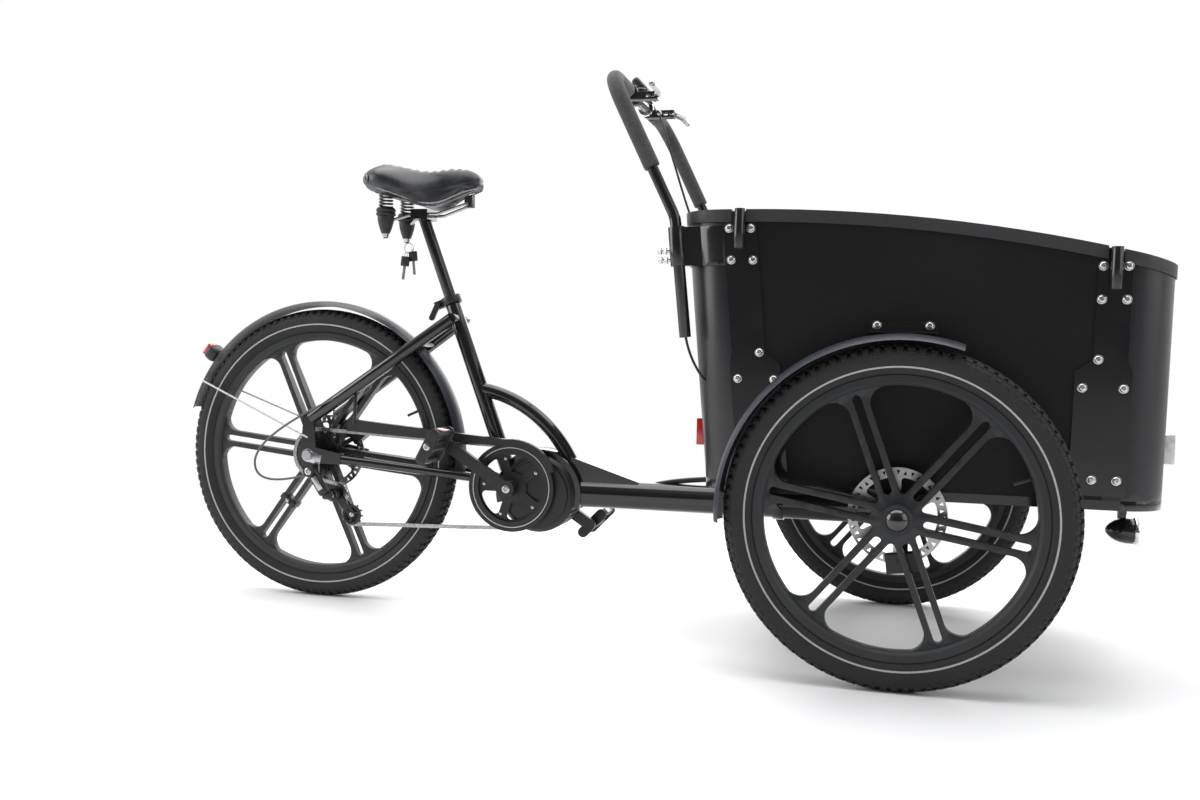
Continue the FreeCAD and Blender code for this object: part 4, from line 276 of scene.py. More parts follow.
def soft_block(size, bevel, segments=2, index=0):
    bm = bmesh.new()
    bmesh.ops.create_cube(bm, size=1)
    bmesh.ops.scale(bm, vec=mm(*size), verts=bm.verts)
    bmesh.ops.bevel(bm, geom=bm.edges[:], offset=bevel / 1000, segments=segments, profile=0.5,
                    affect="EDGES", material=-1)
    for face in bm.faces:
        face.material_index = index
    return bm


def islands(node):
    # The separate closed shells of a node, each as its own bmesh.
    whole = bmesh.new()
    whole.from_mesh(nodes[node].data)
    bmesh.ops.remove_doubles(whole, verts=whole.verts, dist=JOIN_NODE)
    found = []
    seen = set()
    for first in whole.faces:
        if first in seen:
            continue
        shell = [first]
        seen.add(first)
        for face in shell:
            for edge in face.edges:
                for other in edge.link_faces:
                    if other not in seen:
                        seen.add(other)
                        shell.append(other)
        one = bmesh.new()
        made = {}
        for face in shell:
            for vert in face.verts:
                if vert not in made:
                    made[vert] = one.verts.new(vert.co)
            one.faces.new([made[vert] for vert in face.verts])
        found.append(one)
    whole.free()
    return found


def middle_of(bm):
    low = Vector([min(v.co[k] for v in bm.verts) for k in range(3)])
    high = Vector([max(v.co[k] for v in bm.verts) for k in range(3)])
    return (low + high) / 2, high - low


def node_middle(node):
    low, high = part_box(node)
    return (Vector(low) + Vector(high)) / 2


def eased(bm, width, segments=2, limit=35):
    # Rounds the sharp edges of a shell.
    bmesh.ops.dissolve_limit(bm, angle_limit=math.radians(1), use_dissolve_boundaries=False,
                             verts=bm.verts, edges=bm.edges, delimit={"NORMAL"})
    steep = math.radians(limit)
    sharp = [e for e in bm.edges if e.is_manifold and e.calc_face_angle(0) > steep]
    bmesh.ops.bevel(bm, geom=sharp, offset=width / 1000, segments=segments, profile=0.5,
                    affect="EDGES", material=-1, clamp_overlap=True)
    return bm


def dressed(name, node, body, finishes, choose, width=0.0):
    # A node split by its shells, each in the finish that choose gives for its middle and size.
    whole = bmesh.new()
    for shell in islands(node):
        index = choose(*middle_of(shell))
        if width:
            eased(shell, width)
        for face in shell.faces:
            face.material_index = index
        place_in(whole, shell)
    piece(name, whole, finishes, body, [node])


def own_finish(node, made, edge=0.0):
    # The node keeps its shape, with its own finish and a small rounding along its edges.
    thing = nodes[node]
    thing.data.materials.clear()
    thing.data.materials.append(made)
    if edge:
        weld = thing.modifiers.new("joined", "WELD")
        weld.merge_threshold = JOIN_NODE
        ease = thing.modifiers.new("eased", "BEVEL")
        ease.width = edge / 1000
        ease.segments = 2
        ease.limit_method = "ANGLE"
        ease.angle_limit = math.radians(38)
        ease.harden_normals = True


def outer_face(node, x, z, side=-1):
    # The point where a line across the object first meets a node, coming from one side.
    shape = bmesh.new()
    for shell in islands(node):
        place_in(shape, shell)
    well_outside = at(x, side * 500, z)
    spot = BVHTree.FromBMesh(shape).ray_cast(well_outside, -ACROSS * side)[0]
    shape.free()
    return spot


def round_rear_hub(degrees, out, across=0):
    # The place at an angle about the rear hub, a distance out from it.
    turn = Matrix.Translation(at(*REAR_HUB)) @ Matrix.Rotation(math.radians(degrees), 4, "Y")
    return turn @ Matrix.Translation(mm(out, across, 0))


# Tyres

# Rows of tread blocks: distance from the middle, depth under the tyre's radius, tilt in radians,
# block size, and place within the pitch. The rows on the right half are half a pitch further.
TREAD_ROWS = ((5.6, 2.0, 0.17, (15.5, 9.6, 4.4), 0.0),
              (15.6, 6.0, 0.53, (12.5, 9.2, 5.2), 0.25),
              (22.0, 11.5, 1.05, (9.5, 7.5, 4.0), 0.25))
STRIPE_HALF = 1.5
STRIPE_PROUD = 0.4
STRIPE_SUNK = 1


def tread_row(bm, count, side, radius, tilt, size, shift):
    block = soft_block(size, 0.7, 1)
    round_once = WHOLE_TURN / count
    bmesh.ops.rotate(block, cent=(0, 0, 0), matrix=Matrix.Rotation(-tilt, 3, "X"),
                     verts=block.verts)
    bmesh.ops.translate(block, vec=mm(0, side, radius), verts=block.verts)
    bmesh.ops.rotate(block, cent=(0, 0, 0), matrix=Matrix.Rotation(shift * round_once, 3, "Y"),
                     verts=block.verts)
    geom = block.verts[:] + block.edges[:] + block.faces[:]
    bmesh.ops.spin(block, geom=geom, cent=(0, 0, 0), axis=(0, 1, 0),
                   angle=WHOLE_TURN * (count - 1) / count, steps=count - 1, use_duplicate=True)
    place_in(bm, block)


def wall_at(half, radius):
    # How far out the tyre's wall stands at a radius.
    for (a, q), (b, t) in zip(half, half[1:]):
        if q <= radius <= t:
            return a + (b - a) * (radius - q) / (t - q)


def tyre(name, node, body, hub, side, r, rim_r, stripe, count):
    # Carcass, three rows of blocks on each half of the tread, and a reflective stripe on each wall.
    half = [(14, rim_r - 6), (14, rim_r), (18.6, rim_r + 4.5), (22.6, rim_r + 11),
            (25, rim_r + 18), (26, rim_r + 25.5), (25.8, rim_r + 32), (24.3, rim_r + 38.5),
            (21, r - 9.8), (14, r - 6.4), (7, r - 4.2), (0, r - 3.6)]
    carcass = half + [(-a, q) for a, q in reversed(half[:-1])]
    turn = Matrix.Rotation(-math.pi / 2, 4, "X")
    bm = bmesh.new()
    place_in(bm, turned_profile(carcass, 96, closed=True), turn)
    inner, outer = stripe - STRIPE_HALF, stripe + STRIPE_HALF
    low, high = wall_at(half, inner), wall_at(half, outer)
    band = [(low - STRIPE_SUNK, inner), (low + STRIPE_PROUD, inner),
            (high + STRIPE_PROUD, outer), (high - STRIPE_SUNK, outer)]
    for way in (-1, 1):
        mirrored = [(way * a, q) for a, q in band]
        place_in(bm, turned_profile(mirrored, 120, index=1, closed=True), turn)
        for out, under, tilt, size, shift in TREAD_ROWS:
            tread_row(bm, count, way * out, r - under, way * tilt, size,
                      shift if way > 0 else shift + 0.5)
    bmesh.ops.translate(bm, vec=at(hub[0], side * hub[1], hub[2]), verts=bm.verts)
    piece(name, bm, [tyre_rubber, stripe_grey], body, [node])


tyre("treaded_tyre_right", "front_tyre_right", "right_wheel", FRONT_HUB, -1, 303, 250, 264, 96)
tyre("treaded_tyre_left", "front_tyre_left", "left_wheel", FRONT_HUB, 1, 303, 250, 264, 96)
tyre("treaded_tyre_rear", "rear_tyre", "back_wheel", REAR_HUB, 1, 332, 279, 298, 106)


# Cords

CABLE_R = 2.5
CONDUIT_R = 5.3
SPIRAL_PITCH = 0.0046
SPIRAL_WIRE_R = 0.0012
SPIRAL_MARKS = 10   # points in each turn


def line_mesh(route, radius=0.0, rings=3):
    # The mesh of a smooth line along a route: the bare line, or a tube with closed ends.
    curve = bpy.data.curves.new("line", "CURVE")
    curve.dimensions = "3D"
    curve.resolution_u = 14
    spline = curve.splines.new("NURBS")
    spline.points.add(len(route) - 1)
    for point, spot in zip(spline.points, route):
        point.co = (*at(*spot), 1)
    spline.order_u = 3
    spline.use_endpoint_u = True
    if radius:
        curve.bevel_depth = radius / 1000
        curve.bevel_resolution = rings
        curve.use_fill_caps = True
    line = bpy.data.objects.new("line", curve)
    mesh = bpy.data.meshes.new_from_object(line)
    bpy.data.objects.remove(line)
    return mesh


def add_mesh(bm, mesh):
    bm.from_mesh(mesh)
    bpy.data.meshes.remove(mesh)


def line_points(route):
    # The points along a smooth line and its length.
    mesh = line_mesh(route)
    points = [v.co.copy() for v in mesh.vertices]
    bpy.data.meshes.remove(mesh)
    return points, sum((b - a).length for a, b in zip(points, points[1:]))


def held_cord(name, node, route, radius, made, ride=None, between=None):
    path, length = line_points(route)
    cable = piece(name, line_mesh(route, radius), made, ride, [node], 60)
    if between:
        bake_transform(cable)


held_cord("bar_cable", "control_cables",
          [(762, 84, 1108), (772, 42, 1096), (866, 62, 800), (905, 62, 752)],
          CABLE_R, cable_jacket, between=("bar", "front_carriage"))
held_cord("leg_cable", "control_cables", [(896, -280, 632), (904, -280, 556), (960, -264, 506)],
          CABLE_R, cable_jacket, between=("bar", "front_carriage"))
held_cord("shift_cable_loop", "shift_cable",
          [(62, -72.3, 462), (-122, -98, 372), (-122, -92, 250), (16, -86, 292)],
          CABLE_R, grey_jacket, ride="rear_frame")


def spiral_mesh(path, length):
    # A thin wire that winds round a path.
    total = int(length / SPIRAL_PITCH * SPIRAL_MARKS)
    coil = bpy.data.curves.new("spiral", "CURVE")
    coil.dimensions = "3D"
    coil.bevel_depth = SPIRAL_WIRE_R
    coil.bevel_resolution = 1
    spline = coil.splines.new("POLY")
    spline.points.add(total - 1)
    for k in range(total):
        rest = k / total * length
        for a, b in zip(path, path[1:]):
            step = (b - a).length
            if rest <= step:
                break
            rest -= step
        ahead = (b - a).normalized()
        up = ahead.cross(ACROSS)
        turn = WHOLE_TURN * k / SPIRAL_MARKS
        out = ACROSS * math.cos(turn) + up * math.sin(turn)
        spline.points[k].co = (*(a + ahead * rest + out * (CONDUIT_R / 1000)), 1)
    holder = bpy.data.objects.new("spiral", coil)
    mesh = bpy.data.meshes.new_from_object(holder)
    bpy.data.objects.remove(holder)
    return mesh


def wrapped_conduit():
    # A hose with a wrapped spiral, from the main tube to the underside of the box.
    route = [(792, 0, 297), (872, 0, 318), (1180, 0, 318), (1180, 0, 345)]
    path, length = line_points(route)
    bm = bmesh.new()
    add_mesh(bm, line_mesh(route, CONDUIT_R))
    add_mesh(bm, spiral_mesh(path, length))
    made = piece("spiral_conduit", bm, cable_jacket, None, ["wiring_conduit"], 60)
    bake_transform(made)


wrapped_conduit()


# Saddle

SADDLE_REAR, SADDLE_LENGTH = 111, 274
RIB_PITCH, RIB_HEIGHT, RIB_BED = 18.5, 1.7, 0.6
RIB_REACH, RIB_NARROWING = 62, 34   # half width of the ribs at the rear, and its loss to the nose
SEAM_HEIGHT, SEAM_DIP, SEAM_RISE, SEAM_WIDTH, SEAM_DEPTH = 943, 26, 10, 3.2, 1.1
COVER_FIT = (0.985, 0.965, 0.95)
NOSE_SLIM, REAR_SLIM = 0.22, 0.34   # shares taken off the cushion's depth
EVEN_MESH = 0.005
SWELL_FRAMES, SWELL_FORCE, SWELL_CAP = 20, 4, 0.006
BASE_WIDTH, BASE_RISE = 0.1, 16   # the wide base is raised to the slimmer cushion
WELT_ROUTE = ((122, 40, 944), (136, 80, 934), (170, 97, 925), (215, 90, 912), (262, 66, 896),
              (300, 44, 896), (335, 33, 908), (365, 28, 920), (379, 16, 930))


def along_saddle(x):
    return (x - SADDLE_REAR) / SADDLE_LENGTH


def pressed(thing):
    # Lets the cover swell under pressure for a few frames, with each point kept near its start.
    start = [v.co.copy() for v in thing.data.vertices]
    cloth = thing.modifiers.new("swell", "CLOTH")
    cloth.settings.use_pressure = True
    cloth.settings.uniform_pressure_force = SWELL_FORCE
    cloth.settings.effector_weights.gravity = 0
    cloth.settings.quality = 5
    for count in range(1, SWELL_FRAMES + 1):
        scene.frame_set(count)
    seen = thing.evaluated_get(bpy.context.evaluated_depsgraph_get())
    ended = [v.co.copy() for v in seen.data.vertices]
    thing.modifiers.remove(cloth)
    scene.frame_set(1)
    for vert, a, b in zip(thing.data.vertices, start, ended):
        move = b - a
        if move.length > SWELL_CAP:
            move = move.normalized() * SWELL_CAP
        vert.co = a + move


def sewn(mesh):
    # Cross ribs along the crown and a sunk seam along each flank.
    normals = [v.normal.copy() for v in mesh.vertices]
    for vert, normal in zip(mesh.vertices, normals):
        x, y, _ = in_mm(vert.co)
        share = along_saddle(x)
        up = max(0, normal.z)
        reach = RIB_REACH - RIB_NARROWING * unit((share - 0.2) / 0.5)
        side = max(0, 1 - (abs(y) / reach) ** 4)
        inside = unit((share - 0.05) / 0.06) * unit((0.88 - share) / 0.06)
        rib = math.cos(WHOLE_TURN * (x - SADDLE_REAR) / RIB_PITCH)
        vert.co.z += (RIB_HEIGHT * rib * side * inside * up ** 2 - RIB_BED * side * inside) / 1000
        line = SEAM_HEIGHT - SEAM_DIP * math.sin(math.pi * unit(share)) + SEAM_RISE * share
        off = (vert.co.z * 1000 - line) / SEAM_WIDTH
        sink = SEAM_DEPTH * math.exp(-off * off) * (1 - up)
        vert.co -= normal * (sink / 1000)


def saddle_trim(cover):
    # A pale cord along the lower edge of each flank, and a button on each side of the rear.
    bm = bmesh.new()
    for side in (-1, 1):
        route = []
        for x, y, z in WELT_ROUTE:
            _, spot, normal, _ = cover.closest_point_on_mesh(at(x, side * y, z))
            route.append(in_mm(spot + normal * 0.0004))
        add_mesh(bm, line_mesh(route, 1.7, 2))
    piece("saddle_welt", bm, welt_cord, "saddle_top", angle=60)
    buttons = bmesh.new()
    stud = turned_profile([(0, 0), (0, 9), (1.4, 9.2), (2.4, 7.6), (2.4, 5.4), (1.2, 4.6),
                           (1.6, 2.4), (2, 0)], 32)
    for side in (-1, 1):
        _, spot, normal, _ = cover.closest_point_on_mesh(at(140, side * 100, 950))
        place_in(buttons, stud, facing(normal, spot - normal * 0.0006), keep=True)
    stud.free()
    piece("saddle_buttons", buttons, dark_dome, "saddle_top")


def saddle():
    # The largest shell becomes the sewn cover, and the others the base under it.
    shells = sorted(islands("saddle"), key=lambda shell: -middle_of(shell)[1].length)
    cushion = shells[0]
    centre, size = middle_of(cushion)
    bmesh.ops.scale(cushion, vec=COVER_FIT, space=Matrix.Translation(-centre),
                    verts=cushion.verts)
    crown = centre.z + size.z / 2
    for vert in cushion.verts:
        share = along_saddle(in_mm(vert.co)[0])
        slim = NOSE_SLIM * unit((share - 0.62) / 0.25) + REAR_SLIM * unit(1 - share / 0.5)
        vert.co.z = crown - (crown - vert.co.z) * (1 - slim)
    cover = piece("saddle_cover", cushion, saddle_cover, None, ["saddle"], 80)
    voxels = cover.modifiers.new("even", "REMESH")
    voxels.mode = "VOXEL"
    voxels.voxel_size = EVEN_MESH
    seen = cover.evaluated_get(bpy.context.evaluated_depsgraph_get())
    mesh = bpy.data.meshes.new_from_object(seen)
    cover.modifiers.remove(voxels)
    cover.data = mesh
    pressed(cover)
    smooth = bmesh.new()
    smooth.from_mesh(cover.data)
    for _ in range(4):
        bmesh.ops.smooth_vert(smooth, verts=smooth.verts, factor=0.5, use_axis_x=True,
                              use_axis_y=True, use_axis_z=True)
    bmesh.ops.subdivide_edges(smooth, edges=smooth.edges, cuts=1, use_grid_fill=True, smooth=0.2)
    smooth.to_mesh(cover.data)
    smooth.free()
    cover.data.update()
    sewn(cover.data)
    if not cover.data.materials:
        cover.data.materials.append(saddle_cover)
    shaded(cover.data, 80)
    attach(cover, "saddle_top")
    saddle_trim(cover)
    base = bmesh.new()
    for shell in shells[1:]:
        rise = BASE_RISE if middle_of(shell)[1].y > BASE_WIDTH else 0
        place_in(base, eased(shell, 1.2), Matrix.Translation(mm(0, 0, rise)))
    piece("saddle_base", base, black_plastic, "saddle_top", ["saddle"])


saddle()


SPRING_X, SPRING_SIDE = 176, 57
COIL_R, COIL_WIRE_R, COIL_FOOT, COIL_HEIGHT = 14.3, 2.3, 891.6, 28
COIL_TURNS, COIL_MARKS = 4, 14
BELLOWS_FOOT = 823
KEY_X, RING_HEIGHT, KEY_HEIGHT = 182, 812, 785


def saddle_springs():
    bm = bmesh.new()
    for side in (-SPRING_SIDE, SPRING_SIDE):
        route = []
        for k in range(COIL_TURNS * COIL_MARKS + 1):
            angle = WHOLE_TURN * k / COIL_MARKS
            route.append((SPRING_X + COIL_R * math.cos(angle), side + COIL_R * math.sin(angle),
                          COIL_FOOT + COIL_HEIGHT * k / COIL_TURNS / COIL_MARKS))
        add_mesh(bm, line_mesh(route, COIL_WIRE_R))
    made = piece("coil_springs", bm, spring_steel, "seat", ["saddle_springs"], 60)
    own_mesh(made)


def spring_bellows():
    # A ribbed rubber cone under each spring.
    profile = [(823, 0), (823, 4.4), (824, 5.2), (831, 5.6), (832, 5), (833, 8.8), (836, 10.4),
               (846, 14), (857, 17), (868, 18.6), (872, 18), (873, 21), (876, 22), (879, 20.8),
               (880.6, 19.4), (882, 21), (885, 21.8), (888, 20.2), (890.5, 17.6), (890.5, 0)]
    bm = bmesh.new()
    part = turned_profile([(z - BELLOWS_FOOT, r) for z, r in profile], 36)
    for side in (-SPRING_SIDE, SPRING_SIDE):
        place_in(bm, part, Matrix.Translation(at(SPRING_X, side, BELLOWS_FOOT)), keep=True)
    part.free()
    piece("spring_bellows", bm, bellows_rubber, "seat")


def spare_keys():
    # Two keys on a ring that hang from the left bellows.
    bm = bmesh.new()
    ring = turned_profile([(-0.8, 10.2), (0.8, 10.2), (0.8, 11.8), (-0.8, 11.8)], 32, closed=True)
    place_in(bm, ring, facing(ACROSS, at(KEY_X, SPRING_SIDE, RING_HEIGHT)))
    for shift, lean, drop in ((-8, 0.12, 4), (9, -0.1, -8)):
        top = at(KEY_X + shift, SPRING_SIDE + shift / 3, KEY_HEIGHT - drop)
        hang = Matrix.Translation(top) @ Matrix.Rotation(lean, 4, "Y")
        place_in(bm, soft_block((21, 5, 23), 2.2, 3, 1), hang)
        blade = soft_block((7, 2.2, 34), 0.8, 1)
        place_in(bm, blade, hang @ Matrix.Translation(mm(0, 0, -26)))
        link = turned_profile([(-0.6, 6), (0.6, 6), (0.6, 7.2), (-0.6, 7.2)], 24, closed=True)
        place_in(bm, link, hang @ facing(FORWARD, mm(0, 0, 15)))
    piece("spare_keys", bm, [bright_steel, black_plastic], "seat")


saddle_springs()
spring_bellows()
spare_keys()


# Foam grips

def foam_sleeves():
    bm = bmesh.new()
    for shell in islands("foam_grips"):
        place_in(bm, eased(shell, 3.4, 4, 60))
    made = piece("foam_sleeves", bm, grip_foam, "bar", ["foam_grips"], 50)


foam_sleeves()


# Bolts

STRAP_BOLT_LENGTH = 0.02   # metres; a shell longer than this is a bolt of the strap
STRAP_BOLT_INSET = 0.008
STRAP_NUT_GAP = 0.0105


def box_bolts():
    # Button heads over the plates' bolts, and a hexagon bolt with a nut over each strap bolt.
    bm = bmesh.new()
    head = turned_profile([(0, 0), (0, 8), (0.9, 8.2), (1.2, 7.6), (1.2, 6.6), (2.4, 6.5),
                           (3.8, 5.5), (4.6, 3.9), (4.7, 2.9), (2.6, 2.7), (2.6, 0)], 24)
    hexagon = turned_profile([(0, 0), (0, 6.2), (0.8, 7.4), (6.2, 7.4), (7, 6.2), (7, 0)], 6)
    stud = turned_profile([(4, 0), (4, 4), (24, 4), (24, 0)], 20)
    for shell in islands("panel_bolts"):
        centre, size = middle_of(shell)
        shell.free()
        if size.x > STRAP_BOLT_LENGTH:
            spot = centre - FORWARD * (size.x / 2 - STRAP_BOLT_INSET)
            place_in(bm, hexagon, facing(FORWARD, spot), keep=True)
            place_in(bm, hexagon, facing(FORWARD, spot + FORWARD * STRAP_NUT_GAP), keep=True)
            place_in(bm, stud, facing(FORWARD, spot), keep=True)
        else:
            way = 1 if centre.y > 0 else -1
            spot = centre - ACROSS * (way * size.y / 2)
            place_in(bm, head, facing(ACROSS * way, spot), keep=True)
    for part in (head, hexagon, stud):
        part.free()
    piece("button_head_bolts", bm, zinc, "front_carriage", ["panel_bolts"], 30)


box_bolts()


# Lights and reflectors

LAMP = (1722, 0, 254)
LAMP_EAR = (1722, 0, 286)
LIGHT_ANGLE = -142   # degrees round the rear hub


def head_lamp():
    spot = facing(FORWARD, at(*LAMP))
    bm = bmesh.new()
    shell = [(-29, 0), (-28.6, 3), (-26.5, 7.5), (-21, 13.5), (-13, 19), (-3, 23), (8, 25),
             (20, 25.6), (21.5, 25.6), (21.5, 0)]
    place_in(bm, turned_profile(shell, 48), spot)
    ring = [(20.4, 25.4), (21.4, 27.4), (23, 28), (27, 28), (28.8, 27.2), (29, 25.8),
            (27.4, 24.8), (21.5, 24)]
    place_in(bm, turned_profile(ring, 48, 1, closed=True), spot)
    glass = [(26.4, 25), (27.8, 21), (28.7, 14), (29, 7), (29.2, 0)]
    place_in(bm, turned_profile(glass, 48, 2), spot)
    place_in(bm, soft_block((16, 4, 18), 1.2, 2), Matrix.Translation(at(*LAMP_EAR)))
    piece("bullet_lamp", bm, [gloss_black, chrome_ring, white_lens], "lamp", ["head_lamp"])


def rear_light():
    # A rounded case on the fender with its lens towards the rear, a rim, and a foot.
    case = soft_block((34, 45, 37), 13, 5)
    lens = soft_block((15, 38, 30), 6.5, 4, index=1)
    rim = soft_block((5, 36, 28), 2.2, 2)
    foot = soft_block((5, 30, 26), 1.5, 2)
    bm = bmesh.new()
    for part, out in ((case, 366), (lens, 380), (rim, 381.5), (foot, 351.5)):
        place_in(bm, part, round_rear_hub(LIGHT_ANGLE, out))
    piece("rear_light_case", bm, [black_plastic, red_lens], "rear_frame", ["rear_light"])


def front_half(centre, size):
    return 1 if centre.x > 0.5 else 0


head_lamp()
rear_light()
dressed("corner_reflectors", "box_reflectors", "front_carriage", [red_lens, white_lens],
        front_half, 1.4)


# Fenders: the tall shells are the fenders, the low ones their wires and stays

FENDER_RISE = 0.2


def low_shell(centre, size):
    return 0 if size.z > FENDER_RISE else 1


dressed("rear_fender_dressed", "rear_fender", "rear_frame", [fender_gloss, wire_silver],
        low_shell, 0.0)
dressed("front_fenders_dressed", "front_fenders", "front_carriage", [fender_gloss, gloss_black],
        low_shell, 0.0)


# Drive details

GUARD_FACE = -59.2
MOTOR_LEFT_FACE = (535, 58, 268)
MOTOR_BOLTS, MOTOR_BOLT_CIRCLE = 6, 63.5
SPIDER_BOLTS, SPIDER_CIRCLE, SPIDER_LEAN = 5, 64, 0.55
CLAMP_ANGLE, CLAMP_OUT = -234, 142   # degrees round the rear hub, and distance from it
CLAMP_FACE, CLAMP_SCREW_FROM = -16.6, -0.0167   # the screw stands past the clamp's face
LINK_LEAN, ARM_LEAN = 0.98, 0.4   # radians


def ring_painted_highlight():
    # A bright steel ring on the outer face of the chain ring's guard: a painted highlight, standing
    # in for the light on the guard's chamfer.
    bm = bmesh.new()
    line = turned_profile([(-0.4, 86.0), (0.5, 86.2), (0.5, 88.0), (-0.4, 88.2)], 96, closed=True)
    place_in(bm, line, facing(-ACROSS, at(CRANK[0], GUARD_FACE, CRANK[2])))
    piece("ring_chamfer_painted_highlight", bm, bright_steel, "crank")


def motor_cover():
    # A stepped cover with its bolts on the motor's left face.
    spot = facing(ACROSS, at(*MOTOR_LEFT_FACE))
    bm = bmesh.new()
    step = [(0, 0), (0, 70), (2.5, 69), (3, 58), (4.6, 57), (5, 34), (3.4, 32), (3.4, 26),
            (6, 24), (6.4, 0)]
    place_in(bm, turned_profile(step, 72), spot)
    bolt = turned_profile([(2.8, 4.6), (5, 4.4), (5.6, 3.4), (5.6, 2.2), (4.2, 2), (4.2, 0)], 18, 1)
    for k in range(MOTOR_BOLTS):
        turn = Matrix.Rotation(WHOLE_TURN * k / MOTOR_BOLTS, 4, "Z")
        out = Matrix.Translation(mm(MOTOR_BOLT_CIRCLE, 0, 0))
        place_in(bm, bolt, spot @ turn @ out, keep=True)
    bolt.free()
    piece("motor_left_cover", bm, [motor_casting, zinc], "rear_frame")


def bolt_at(bm, spot, side, radius):
    s = radius / 6
    cap = [(-0.6, 0), (-0.6, 5.6), (0.4, 6), (1.6, 5.8), (2.4, 4.6), (2.4, 3), (1, 2.8), (1, 0)]
    head = turned_profile([(a * s, r * s) for a, r in cap], 24)
    place_in(bm, head, facing(ACROSS * side, spot))


def crank_bolts():
    # Spider bolts and the crank bolts, and the caps of the pedal spindles.
    bm = bmesh.new()
    for k in range(SPIDER_BOLTS):
        turn = WHOLE_TURN * k / SPIDER_BOLTS + SPIDER_LEAN
        spot = outer_face("chainring", CRANK[0] + SPIDER_CIRCLE * math.cos(turn),
                          CRANK[2] + SPIDER_CIRCLE * math.sin(turn))
        if spot:
            bolt_at(bm, spot, -1, 3.6)
    for side in (-1, 1):
        bolt_at(bm, outer_face("crank_arms", CRANK[0], CRANK[2], side), side, 9)
    piece("crank_bolts", bm, bright_steel, "crank")
    for side, node, body in ((-1, "pedal_right", "right_pedal"), (1, "pedal_left", "left_pedal")):
        x, _, z = in_mm(node_middle(node))
        cap = bmesh.new()
        bolt_at(cap, outer_face(node, x, z, side), side, 7.5)
        piece(body + "_cap", cap, bright_steel, body)


def derailleur_details():
    # The rounded link case of the derailleur with its bright plate.
    case = bmesh.new()
    lean = Matrix.Translation(at(33, -84, 271)) @ Matrix.Rotation(LINK_LEAN, 4, "Y")
    place_in(case, soft_block((58, 15, 24), 5, 3), lean)
    bright_plate = soft_block((34, 2.4, 13), 1, 2, 1)
    place_in(case, bright_plate, lean @ Matrix.Translation(mm(0, -7.6, 0)))
    place_in(case, soft_block((24, 12, 20), 5, 3), Matrix.Translation(at(52, -78, 244)))
    piece("derailleur_case", case, [satin_black, bright_steel], "rear_frame")
    # Over each pulley a bolt, and an open plate with three arms.
    bolts = bmesh.new()
    plates = bmesh.new()
    for node, rim in (("guide_pulley", 15), ("tension_pulley", 23.5)):
        x, _, z = in_mm(node_middle(node))
        spot = outer_face("derailleur_cage", x, z)
        bolt_at(bolts, spot, -1, 5.2)
        face = facing(-ACROSS, spot)
        plate = [(-0.4, rim - 6), (-0.4, rim), (1.2, rim), (1.6, rim - 0.8), (1.6, rim - 5.4),
                 (1.2, rim - 6)]
        place_in(plates, turned_profile(plate, 40, closed=True), face)
        for k in range(3):
            turn = face @ Matrix.Rotation(WHOLE_TURN * k / 3 + ARM_LEAN, 4, "Z")
            arm = soft_block((rim - 6, 5, 1.6), 0.6, 2)
            place_in(plates, arm, turn @ Matrix.Translation(mm(rim / 2, 0, 0.5)))
    piece("pulley_bolts", bolts, bright_steel, "cage")
    piece("cage_plates", plates, satin_black, "cage")


def spoke_clamp():
    # A small clamp over one pair of spokes of the rear wheel; its screw is bright.
    bm = bmesh.new()
    place = round_rear_hub(CLAMP_ANGLE, CLAMP_OUT)
    place_in(bm, soft_block((15, 28, 45), 3, 2), place)
    place_in(bm, soft_block((10, 33, 12), 2.5, 2), place)
    screw = round_rear_hub(CLAMP_ANGLE, CLAMP_OUT, CLAMP_FACE).translation
    bolt_at(bm, screw, -1, 4.4)
    for face in bm.faces:
        face.material_index = 1 if face.calc_center_median().y < CLAMP_SCREW_FROM else 0
    piece("spoke_clamp", bm, [black_plastic, bright_steel], "back_wheel")


def hanger_details():
    # Bright hanger plate, axle washer and pivot bolts on the right side of the rear axle.
    bm = bmesh.new()
    washer = turned_profile([(0, 11.4), (0, 15.5), (1.2, 15.2), (1.6, 12), (1.6, 11.4)], 32,
                            closed=True)
    place_in(bm, washer, facing(-ACROSS, at(0, -73.5, 332)))
    face = outer_face("chainstays", 18, 326)
    hanger = soft_block((30, 2.6, 26), 1.2, 2)
    proud = Matrix.Translation(face - ACROSS * 0.0008)
    place_in(bm, hanger, proud @ Matrix.Rotation(0.3, 4, "Y"))
    pivot = turned_profile([(0, 0), (0, 8.4), (2, 8.2), (3, 6.6), (3, 4), (1.4, 3.8), (1.4, 0)], 28)
    for spot in (at(14, -97.3, 298), at(51, -59.6, 242)):
        place_in(bm, pivot, facing(-ACROSS, spot), keep=True)
    pivot.free()
    piece("hanger_plate", bm, bright_steel, "rear_frame")


# The bright ring on the guard is a painted highlight of its chamfer, not a part of its own.
ring_painted_highlight()
motor_cover()
crank_bolts()
derailleur_details()
spoke_clamp()
hanger_details()


# Controls on the bar

BAR_HEIGHT = 1108
CLAMP_SIDE, CLAMP_SCREW_HEIGHT = 92, 1116
SHIFTER_SIDE = -60
DISPLAY, DISPLAY_FOOT, DISPLAY_TILT = (741, 0, 1146), (741, 0, 1126), -0.75
# Metres across, by which the shells of the controls are told apart
OLD_DISPLAY_REACH, BELL_SIDE, BELL_REACH, CLAMPS_FROM = 0.03, 0.06, 0.02, 0.08


